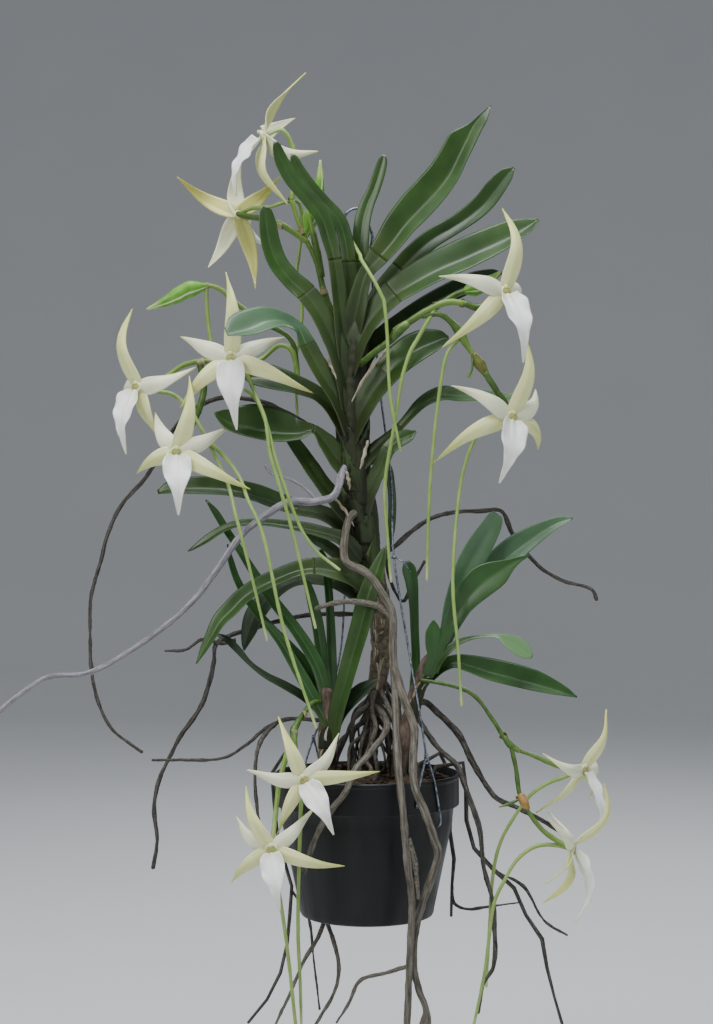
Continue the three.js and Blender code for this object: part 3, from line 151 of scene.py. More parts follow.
def ease(low, high, x):
    t = min(max((x - low) / (high - low), 0.0), 1.0)
    return t * t * (3 - 2 * t)


def bump(x, width):
    return math.exp(-(x / width) ** 2)


def compass(turn):
    # The level direction at this angle
    return Vector((math.cos(turn), math.sin(turn), 0))


def newSheetMesh():
    bm = bmesh.new()
    bm.loops.layers.uv.new("UVMap")
    return bm


def facesOf(verts):
    return {face for vert in verts for face in vert.link_faces}


def addSheet(bm, along, across, place, material=0):
    # A flat grid gets a second side and is then shaped; place(t, w, side) gives a point,
    # t runs 0..1 along, w -1..1 across, side is 1 above and -1 below. The underside's map lies 2 further on.
    uvMap = bm.loops.layers.uv.active
    grid = bmesh.ops.create_grid(bm, x_segments=along, y_segments=across, size=0.5, calc_uvs=True)["verts"]
    under = list(facesOf(grid))
    raised = bmesh.ops.extrude_face_region(bm, geom=under)["geom"]
    upper = [item for item in raised if isinstance(item, bmesh.types.BMVert)]
    for vert in upper:
        vert.co.z = 1.0
    for face in under:
        for loop in face.loops:
            loop[uvMap].uv.x += 2.0
    sheet = grid + upper
    for face in facesOf(sheet):
        face.material_index = material
    for vert in sheet:
        vert.co = place(vert.co.x + 0.5, vert.co.y * 2, 1 if vert.co.z > 0.5 else -1)
    return sheet


def bladeFrames(points, face, faceTip, along):
    # Centre, side and upper side's way at even steps along a sheet
    path = smoothPath(points, along)
    frames = []
    for i, (centre, run) in enumerate(zip(path, tangents(path))):
        look = Vector(face).normalized().lerp(Vector(faceTip).normalized(), i / along)
        side = run.cross(look).normalized()
        frames.append((centre, side, side.cross(run).normalized()))
    return frames


def finishPiece(name, bm, materials, slotName, *nodes, flat=False):
    bmesh.ops.scale(bm, vec=(mm, mm, mm), verts=bm.verts)
    mesh = bpy.data.meshes.new(name)
    bm.to_mesh(mesh)
    bm.free()
    if not flat:
        mesh.shade_smooth()
    for material in materials:
        mesh.materials.append(material)
    piece = bpy.data.objects.new(name, mesh)
    bpy.context.collection.objects.link(piece)
    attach(piece, "root")
    if nodes:
        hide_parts(*nodes)
    return piece


def pieceName(node):
    first, *rest = node.split("_")
    return first + "".join(word.capitalize() for word in rest)


def appendMesh(bm, part):
    mesh = bpy.data.meshes.new("part")
    part.to_mesh(mesh)
    part.free()
    bm.from_mesh(mesh)
    bpy.data.meshes.remove(mesh)


def addTubes(bm, limbs, material=0, rings=2, step=5.0, lumps=0.0, lumpSize=9.0, flutes=0, fluteDepth=0.0):
    # Round limbs as one curve turned to mesh, each (radii, points) or (radii, points, its own step):
    # the ends are blunt, and the skin is roughened and fluted along its normals
    curve = bpy.data.curves.new("limbs", "CURVE")
    curve.dimensions, curve.bevel_depth, curve.bevel_resolution = "3D", 1.0, rings
    curve.use_fill_caps = True
    for girths, points, *ownStep in limbs:
        count = max(6, round(pathLength(points) / (ownStep[0] if ownStep else step)))
        path = smoothPath(points, count)
        radii = [readAlong(girths, i / count) for i in range(count + 1)]
        tip = (path[-1] - path[-2]).normalized()
        path += [path[-1] + tip * radii[-1] * 0.45, path[-1] + tip * radii[-1] * 0.6]
        radii += [radii[-1] * 0.72, radii[-1] * 0.3]
        spline = curve.splines.new("POLY")
        spline.points.add(len(path) - 1)
        for point, spot, radius in zip(spline.points, path, radii):
            point.co = (*spot, 1.0)
            point.radius = radius
    holder = bpy.data.objects.new("limbs", curve)
    mesh = bpy.data.meshes.new_from_object(holder)
    bpy.data.objects.remove(holder)
    bpy.data.curves.remove(curve)
    part = bmesh.new()
    part.from_mesh(mesh)
    bpy.data.meshes.remove(mesh)
    bmesh.ops.remove_doubles(part, verts=part.verts, dist=1e-4)
    bmesh.ops.recalc_face_normals(part, faces=part.faces)
    part.normal_update()
    uvMap = part.loops.layers.uv.active
    moves = []
    for vert in part.verts:
        shift = lumps * noise.noise(vert.co / lumpSize) + lumps * 0.5 * noise.noise(vert.co / (lumpSize * 0.35))
        if flutes and vert.link_loops:
            around = vert.link_loops[0][uvMap].uv.y * flutes
            shift -= fluteDepth * bump((around % 1.0) - 0.5, 0.16)
        moves.append(vert.normal * shift)
    for vert, move in zip(part.verts, moves):
        vert.co += move
    for face in part.faces:
        face.material_index = material
    appendMesh(bm, part)


def addSpun(bm, profile, steps, matrix, material=0, materialOf=None):
    # A profile of (radius, height) spun about +Z, then put in place
    verts = [bm.verts.new((r, 0.0, h)) for r, h in profile]
    edges = [bm.edges.new(pair) for pair in zip(verts, verts[1:])]
    before = set(bm.faces)
    bmesh.ops.spin(bm, geom=verts + edges, cent=(0, 0, 0), axis=(0, 0, 1), angle=math.tau, steps=steps,
                   use_merge=True)
    faces = [face for face in bm.faces if face not in before]
    made = list({vert for face in faces for vert in face.verts})
    bmesh.ops.remove_doubles(bm, verts=made, dist=1e-3)
    faces = [face for face in bm.faces if face not in before]
    bmesh.ops.recalc_face_normals(bm, faces=faces)
    for face in faces:
        face.material_index = materialOf(face.calc_center_median()) if materialOf else material
    bmesh.ops.transform(bm, matrix=matrix, verts=list({vert for face in faces for vert in face.verts}))


# Materials

def fromHex(code):
    # sRGB hex to linear colour
    parts = [int(code[i:i + 2], 16) / 255 for i in (0, 2, 4)]
    return (*[c / 12.92 if c <= 0.04045 else ((c + 0.055) / 1.055) ** 2.4 for c in parts], 1.0)


def setInputs(tree, node, inputs):
    # An input takes another node's output, a hex colour or a plain value
    for name, value in inputs.items():
        if isinstance(value, bpy.types.NodeSocket):
            tree.links.new(value, node.inputs[name])
        else:
            node.inputs[name].default_value = fromHex(value) if isinstance(value, str) else value


def addNode(tree, kind, inputs=None, output=0, stops=None, **settings):
    # One node with its settings and links; what comes back is the output that is wanted of it
    node = tree.nodes.new("ShaderNode" + kind)
    for name, value in settings.items():
        setattr(node, name, value)
    setInputs(tree, node, inputs or {})
    if stops:
        ramp = node.color_ramp
        for element, (place, colour) in zip(ramp.elements, (stops[0], stops[-1])):
            element.position, element.color = place, fromHex(colour)
        for place, colour in stops[1:-1]:
            ramp.elements.new(place).color = fromHex(colour)
    return node.outputs[output]


def newMaterial(name):
    material = bpy.data.materials.new(name)
    material.use_nodes = True
    tree = material.node_tree
    return material, tree, tree.nodes["Principled BSDF"], addNode(tree, "TexCoord").node.outputs


def readSheetMap(tree, place):
    # Of a sheet's map: 1 on the underside, the share of the length, and how far from the middle line
    runs = addNode(tree, "SeparateXYZ", {"Vector": place["UV"]}).node.outputs
    below = addNode(tree, "Math", {0: runs["X"], 1: 1.5}, operation="GREATER_THAN")
    share = addNode(tree, "Math", {0: runs["X"], 1: 2.0}, operation="FLOORED_MODULO")
    offset = addNode(tree, "Math", {0: runs["Y"], 1: 0.5}, operation="SUBTRACT")
    return below, share, addNode(tree, "Math", {0: offset}, operation="ABSOLUTE")


def leafMaterial(name, deep, fresh, streak, foot, under, underStreak, ribTint, rib, margin, roughness, wax,
                 tip=None, tipFrom=0.0, tipTo=1.0, footTo=0.2, relief=0.12):
    # Living strap leaf under a waxy cuticle: deep green, a soft wide highlight, faint veins along the
    # length, a slightly paler midrib, and a duller underside. Where tip is given, the outer part is paler.
    material, tree, shader, place = newMaterial(name)
    below, share, aside = readSheetMap(tree, place)
    # veins about 0.9 mm apart over a 25 mm blade, drawn out along it
    drawn = addNode(tree, "Mapping", {"Vector": place["UV"], "Scale": (1.5, 28.0, 1.0)})
    veins = addNode(tree, "TexNoise", {"Vector": drawn, "Scale": 1.0, "Detail": 3.0})
    veinShade = addNode(tree, "MapRange", {"Value": veins, "From Min": 0.35, "From Max": 0.7})
    faintVeins = addNode(tree, "Math", {0: veinShade, 1: 0.4}, operation="MULTIPLY")
    # patches 20 to 40 mm across
    patches = addNode(tree, "TexNoise", {"Vector": place["Object"], "Scale": 32.0, "Detail": 3.0})
    patchShade = addNode(tree, "MapRange", {"Value": patches, "From Min": 0.25, "From Max": 0.75})
    footward = addNode(tree, "MapRange", {"Value": share, "From Max": footTo, "To Min": 0.8, "To Max": 0.0})
    ribward = addNode(tree, "MapRange", {"Value": aside, "From Min": 0.01, "From Max": 0.04,
                                         "To Min": rib, "To Max": 0.0})
    edgeward = addNode(tree, "MapRange", {"Value": aside, "From Min": 0.472, "From Max": 0.5, "To Max": margin})
    dull = addNode(tree, "Mix", {0: veinShade, 6: under, 7: underStreak}, 2, data_type="RGBA")
    layers = [(patchShade, fresh), (faintVeins, streak), (footward, foot), (below, dull), (ribward, ribTint),
              (edgeward, ribTint)]
    if tip:
        tipward = addNode(tree, "MapRange", {"Value": share, "From Min": tipFrom, "From Max": tipTo})
        layers.insert(3, (tipward, tip))
    colour = deep
    for cover, tint in layers:
        colour = addNode(tree, "Mix", {0: cover, 6: colour, 7: tint}, 2, data_type="RGBA")
    gloss = addNode(tree, "MapRange", {"Value": patches, "To Min": roughness - 0.06, "To Max": roughness + 0.12})
    bumps = addNode(tree, "Bump", {"Height": veins, "Strength": relief, "Distance": 0.0003})
    setInputs(tree, shader, {"Base Color": colour, "Roughness": gloss, "Normal": bumps, "IOR": 1.45,
                             "Coat Weight": wax, "Coat Roughness": 0.3})
    return material


leafLooks = {
    "dark": leafMaterial("waxyLeaf", "1e3512", "34551e", "284719", "36471a", "375730", "2d4c2a", "64875a", 0.04, 0.12,
                         0.34, 0.2),
    # shade is a darker copy of the leaf colours: painted shade, for leaves that hang in shade
    "shade": leafMaterial("waxyLeafInShade", "14230e", "22391a", "1b2f15", "273312", "2a4224", "233920", "4c6c46",
                          0.04, 0.1, 0.4, 0.12),
    "olive": leafMaterial("waxyLeafOlive", "1f3811", "36581d", "2a4816", "3a4a1a", "35521e", "2c461a", "6a8650", 0.05,
                          0.14, 0.4, 0.12),
    "young": leafMaterial("waxyShootLeaf", "1c3814", "2f5722", "25481c", "3e5824", "41683e", "375b38", "6f946c", 0.06,
                          0.14, 0.38, 0.15),
    # pale is a paler, bluer copy of the leaf colours: painted sheen, for leaves that catch the light from above
    "pale": leafMaterial("waxyLeafPaintedSheen", "3a583c", "4f714f", "426344", "34501f", "28441f", "233c20", "88ab8c", 0.1,
                         0.16, 0.38, 0.15),
    "paleTip": leafMaterial("waxyLeafPaleTip", "1e3612", "33531f", "28461a", "3b4c1a", "375430", "2f4a2c", "88a67c",
                            0.08, 0.16, 0.38, 0.15, tip="5d8054", tipFrom=0.46, tipTo=0.66),
}
leafFoot = leafMaterial("waxyLeafFoot", "1f3010", "364d1b", "294016", "1e1b0d", "2e3f18", "263517", "747c54", 0.03,
                        0.3, 0.48, 0.06, tip="3a4c1d", tipFrom=0.95, tipTo=0.98, footTo=0.7, relief=0.3)


def petalMaterial(name, body, shade, tip, ribTint, rib, tipFrom, foot):
    # Thick waxy flower tissue: soft satin with a little light through it, a greener midrib and tip
    material, tree, shader, place = newMaterial(name)
    below, share, aside = readSheetMap(tree, place)
    behind = addNode(tree, "Math", {0: below, 1: 0.35}, operation="MULTIPLY")
    # veins some 2 mm apart across a 20 mm petal
    drawn = addNode(tree, "Mapping", {"Vector": place["UV"], "Scale": (1.2, 12.0, 1.0)})
    veins = addNode(tree, "TexNoise", {"Vector": drawn, "Scale": 1.0, "Detail": 2.0})
    veinShade = addNode(tree, "MapRange", {"Value": veins, "From Min": 0.4, "From Max": 0.65, "To Max": 0.16})
    # tissue cells under half a millimetre, drawn at 0.8 mm so that they show
    cells = addNode(tree, "TexVoronoi", {"Vector": place["Object"], "Scale": 1200.0})
    clouds = addNode(tree, "TexNoise", {"Vector": place["Object"], "Scale": 70.0, "Detail": 3.0})
    tipward = addNode(tree, "MapRange", {"Value": share, "From Min": tipFrom, "From Max": 1.0})
    ribward = addNode(tree, "MapRange", {"Value": aside, "From Min": 0.02, "From Max": 0.2,
                                         "To Min": rib, "To Max": 0.0})
    footward = addNode(tree, "MapRange", {"Value": share, "From Max": 0.14, "To Min": foot, "To Max": 0.0})
    colour = body
    for cover, tint in ((clouds, shade), (tipward, tip), (ribward, ribTint), (footward, ribTint), (behind, tip),
                        (veinShade, ribTint)):
        colour = addNode(tree, "Mix", {0: cover, 6: colour, 7: tint}, 2, data_type="RGBA")
    grain = addNode(tree, "Math", {0: cells, 1: veins}, operation="ADD")
    bumps = addNode(tree, "Bump", {"Height": grain, "Strength": 0.16, "Distance": 0.0003})
    setInputs(tree, shader, {"Base Color": colour, "Roughness": 0.42, "Normal": bumps, "IOR": 1.4,
                             "Subsurface Weight": 0.16, "Subsurface Scale": 0.003,
                             "Subsurface Radius": (0.9, 1.0, 0.7), "Coat Weight": 0.06, "Coat Roughness": 0.35})
    return material


sepalCream = petalMaterial("waxySepal", "ebebb8", "e0e2a2", "c4ca6c", "bcc872", 0.35, 0.35, 0.5)
sepalOlive = petalMaterial("waxyAgedSepal", "e4e3a4", "d8d88a", "b4b04c", "b4b45c", 0.4, 0.35, 0.5)
petalWhite = petalMaterial("waxyPetal", "ebebd6", "e2e4c4", "d4d6a8", "c6d09a", 0.22, 0.5, 0.45)
lipWhite = petalMaterial("waxyLip", "f8f9f6", "f0f1ee", "e2e5d0", "ccd7b0", 0.12, 0.62, 0.5)


def fleshMaterial(name, body, shade, tip, tipFrom=0.85, clouds=160.0, seamHighlight=None):
    # Fresh green stalk and flower-centre tissue: smooth, slightly translucent. Where a seam colour is given, three
    # paler lines run along its seams: a painted highlight.
    material, tree, shader, place = newMaterial(name)
    runs = addNode(tree, "SeparateXYZ", {"Vector": place["UV"]}).node.outputs
    mottle = addNode(tree, "TexNoise", {"Vector": place["Object"], "Scale": clouds, "Detail": 3.0})
    spread = addNode(tree, "MapRange", {"Value": mottle, "From Min": 0.35, "From Max": 0.68})
    tipward = addNode(tree, "MapRange", {"Value": runs["X"], "From Min": tipFrom, "From Max": 1.0})
    layers = [(spread, shade), (tipward, tip)]
    if seamHighlight:
        # three paler lines round the tube, along its seams: painted highlight
        turns = addNode(tree, "Math", {0: runs["Y"], 1: 3}, operation="MULTIPLY")
        part = addNode(tree, "Math", {0: turns}, operation="FRACT")
        away = addNode(tree, "Math", {0: part, 1: 0.5}, operation="SUBTRACT")
        near = addNode(tree, "Math", {0: away}, operation="ABSOLUTE")
        seam = addNode(tree, "MapRange", {"Value": near, "From Min": 0.02, "From Max": 0.09,
                                          "To Min": 0.85, "To Max": 0.0})
        layers.append((seam, seamHighlight))
    colour = body
    for cover, tint in layers:
        colour = addNode(tree, "Mix", {0: cover, 6: colour, 7: tint}, 2, data_type="RGBA")
    bumps = addNode(tree, "Bump", {"Height": mottle, "Strength": 0.2, "Distance": 0.0002})
    setInputs(tree, shader, {"Base Color": colour, "Roughness": 0.42, "Normal": bumps, "IOR": 1.42,
                             "Subsurface Weight": 0.08, "Subsurface Scale": 0.002,
                             "Subsurface Radius": (0.8, 1.0, 0.5)})
    return material


stalkGreen = fleshMaterial("greenStalk", "4d6a2a", "3a5522", "7d9a48", tipFrom=0.5)
# the pale seam colours of the pedicel and of the bud two lines down paint a highlight
pedicelGreen = fleshMaterial("greenPedicel", "86a552", "6f9242", "b9c98c", tipFrom=0.6, seamHighlight="a9c274")
spurGreen = fleshMaterial("nectarSpur", "8fa860", "7d9a4c", "c3cf8e", tipFrom=0.9, clouds=60.0)
budGreen = fleshMaterial("greenBud", "6fa63a", "58922c", "cfe08f", tipFrom=0.7, seamHighlight="e2efc4")
podOlive = fleshMaterial("olivePod", "6b6f2e", "54582a", "8a8a3c", clouds=220.0)
knobYellow = fleshMaterial("yellowKnob", "a8844e", "8c6a3a", "bc9c66")
columnGreen = fleshMaterial("columnWax", "e2e4bc", "d4d9a2", "e6e8cc", clouds=300.0)
throatOlive = fleshMaterial("oliveThroat", "b4b270", "9a9852", "bebc80", clouds=420.0)


def dryMaterial(name, dark, body, light, fleckTint, fleckShare, patchScale, fleckScale, relief, depth, roughness,
                stretch=(1.0, 1.0, 1.0), grain=None):
    # Dry plant tissue: papery sheath, bark or the spongy skin of a root, matte and mottled.
    # Where grain is given, the patches are drawn out along the piece's own map.
    material, tree, shader, place = newMaterial(name)
    drawn = addNode(tree, "Mapping", {"Vector": place["Object"], "Scale": stretch})
    patchPlace = addNode(tree, "Mapping", {"Vector": place["UV"], "Scale": grain}) if grain else drawn
    patches = addNode(tree, "TexNoise", {"Vector": patchPlace, "Scale": patchScale, "Detail": 6.0,
                                         "Roughness": 0.62})
    flecks = addNode(tree, "TexNoise", {"Vector": drawn, "Scale": fleckScale, "Detail": 4.0, "Roughness": 0.7})
    tone = addNode(tree, "ValToRGB", {"Fac": patches}, stops=[(0.3, dark), (0.47, body), (0.7, light)])
    fleck = addNode(tree, "MapRange", {"Value": flecks, "From Min": 0.52, "From Max": 0.66, "To Max": fleckShare})
    colour = addNode(tree, "Mix", {0: fleck, 6: tone, 7: fleckTint}, 2, data_type="RGBA")
    rough = addNode(tree, "Math", {0: patches, 1: flecks}, operation="ADD")
    bumps = addNode(tree, "Bump", {"Height": rough, "Strength": relief, "Distance": depth})
    setInputs(tree, shader, {"Base Color": colour, "Roughness": roughness, "Normal": bumps, "IOR": 1.4})
    return material


# root skin: dead velamen over brown, in streaks 1 to 2 mm wide and 10 mm long or more, flecks near 1 mm
rootSilver = dryMaterial("silverRootSkin", "57535a", "7d7982", "a9a6ac", "544f50", 0.4, 1.0, 620.0, 0.5, 0.0008, 0.82,
                         grain=(26.0, 9.0, 1.0))
rootBark = dryMaterial("barkyRootSkin", "332f29", "5f5a50", "8d887e", "2b2721", 0.4, 1.0, 700.0, 0.8, 0.0014, 0.88,
                       grain=(22.0, 10.0, 1.0))
rootDark = dryMaterial("darkRootSkin", "191815", "35322e", "66625b", "8b867c", 0.3, 1.0, 520.0, 0.5, 0.001, 0.8,
                       grain=(24.0, 8.0, 1.0))
# old leaf bases: fibres along the stem about 1 mm apart, drawn six times longer than wide
sheathFibre = dryMaterial("fibrousSheath", "10120a", "1e2412", "30351d", "4a432e", 0.3, 90.0, 700.0, 0.5, 0.0009, 0.62,
                          stretch=(1.0, 1.0, 0.16))
sheathEdge = dryMaterial("paperySheathRim", "5c5340", "8d8570", "bdb6a6", "564834", 0.4, 120.0, 600.0, 0.4, 0.0005,
                         0.7, stretch=(1.0, 1.0, 0.25))
oldStem = dryMaterial("oldBareStem", "2c2620", "5b4b41", "857569", "2a221b", 0.5, 110.0, 520.0, 0.8, 0.0014, 0.85,
                      stretch=(1.0, 1.0, 0.4))
# fir bark chips: brown layers 2 to 3 mm thick
firBark = dryMaterial("firBark", "15100c", "31261d", "514134", "6e5f51", 0.3, 75.0, 420.0, 0.9, 0.002, 0.92,
                      stretch=(1.0, 1.0, 2.6))
bractTan = dryMaterial("paperyBract", "5f5b3c", "858058", "aaa47e", "6a5c3e", 0.3, 240.0, 900.0, 0.4, 0.0003, 0.68)
bractPaper = dryMaterial("dryBract", "352e24", "5a513f", "80765f", "3a2e22", 0.4, 220.0, 900.0, 0.4, 0.0004, 0.7)


def potMaterial():
    # Injection-moulded black polypropylene: satin, fine moulded grain, dulled by dried water marks
    material, tree, shader, place = newMaterial("mouldedPolypropylene")
    # water marks run down the wall, some 15 mm apart
    runs = addNode(tree, "Mapping", {"Vector": place["Object"], "Scale": (1.0, 1.0, 0.18)})
    marks = addNode(tree, "TexNoise", {"Vector": runs, "Scale": 65.0, "Detail": 5.0, "Roughness": 0.6})
    dust = addNode(tree, "TexNoise", {"Vector": place["Object"], "Scale": 420.0, "Detail": 3.0})
    marked = addNode(tree, "MapRange", {"Value": marks, "From Min": 0.5, "From Max": 0.8, "To Max": 0.4})
    dusty = addNode(tree, "MapRange", {"Value": dust, "From Min": 0.55, "From Max": 0.75, "To Max": 0.3})
    colour = "060607"
    for cover, tint in ((marked, "121314"), (dusty, "191816")):
        colour = addNode(tree, "Mix", {0: cover, 6: colour, 7: tint}, 2, data_type="RGBA")
    gloss = addNode(tree, "MapRange", {"Value": marks, "From Min": 0.35, "From Max": 0.75,
                                       "To Min": 0.4, "To Max": 0.66})
    # moulded grain near 0.5 mm, drawn at 1 mm
    grain = addNode(tree, "TexNoise", {"Vector": place["Object"], "Scale": 1000.0, "Detail": 2.0})
    bumps = addNode(tree, "Bump", {"Height": grain, "Strength": 0.12, "Distance": 0.0002})
    setInputs(tree, shader, {"Base Color": colour, "Roughness": gloss, "Normal": bumps, "IOR": 1.49,
                             "Specular IOR Level": 0.4})
    return material


def wireMaterial():
    # Hot-dipped galvanised steel wire: dull blue-grey zinc with darker oxide spots
    material, tree, shader, place = newMaterial("galvanisedSteelWire")
    spots = addNode(tree, "TexNoise", {"Vector": place["Object"], "Scale": 380.0, "Detail": 4.0})
    tone = addNode(tree, "ValToRGB", {"Fac": spots}, stops=[(0.32, "3f434e"), (0.5, "7d8492"), (0.72, "a5abb5")])
    gloss = addNode(tree, "MapRange", {"Value": spots, "To Min": 0.32, "To Max": 0.6})
    bumps = addNode(tree, "Bump", {"Height": spots, "Strength": 0.25, "Distance": 0.0003})
    setInputs(tree, shader, {"Base Color": tone, "Roughness": gloss, "Normal": bumps, "Metallic": 1.0})
    return material


def floorMaterial():
    # Matte painted studio floor, even and pale
    material, tree, shader, place = newMaterial("paintedFloor")
    drift = addNode(tree, "TexNoise", {"Vector": place["Object"], "Scale": 1.5, "Detail": 2.0})
    paint = addNode(tree, "Mix", {0: drift, 6: "c6c8cb", 7: "cdcfd1"}, 2, data_type="RGBA")
    setInputs(tree, shader, {"Base Color": paint, "Roughness": 0.9, "IOR": 1.45})
    return material


potPlastic = potMaterial()
zincWire = wireMaterial()
print("materials made")


def makeFloor():
    bm = newSheetMesh()
    addSpun(bm, studio["floorProfile"], studio["floorSteps"], Matrix.Translation((0, 0, studio["floorHeight"])))
    mesh = bpy.data.meshes.new("studioFloor")
    bm.to_mesh(mesh)
    bm.free()
    mesh.shade_smooth()
    mesh.materials.append(floorMaterial())
    floor = bpy.data.objects.new("studioFloor", mesh)
    bpy.context.collection.objects.link(floor)


makeFloor()

# Main stem: a woody core clad in the overlapping feet of its leaves

stemPath = [[12, 0, -594], [12, 0, -540], [18, -2, -490], [25, -5, -440], [22, -8, -390], [11, -11, -350],
    [6, -14, -305], [-3, -16, -260], [-5, -18, -223], [-5, -19, -190], [0, -21, -140], [4, -22, -96]]
stemRadii = [7, 8, 8, 9, 10, 12, 14, 15, 15, 15, 13, 9]
stemLook = {
    "shrink": 0.92, "steps": 240, "scarEvery": 11.0, "scarHeight": 0.6, "greenFrom": -352.0, "lumps": 0.9,
    # old sheaths between the feet, dry below and green above: how high they rise, how far their rims droop
    "sheathFrom": -440.0, "sheathTo": -165.0, "sheathEvery": 9.0, "sheathWall": 0.6, "flare": 0.8,
    "drySheath": {"rise": (26, 40), "droop": (5, 14), "wide": 1.9},
    "greenSheath": {"rise": (44, 62), "droop": (24, 38), "wide": 1.45},
}

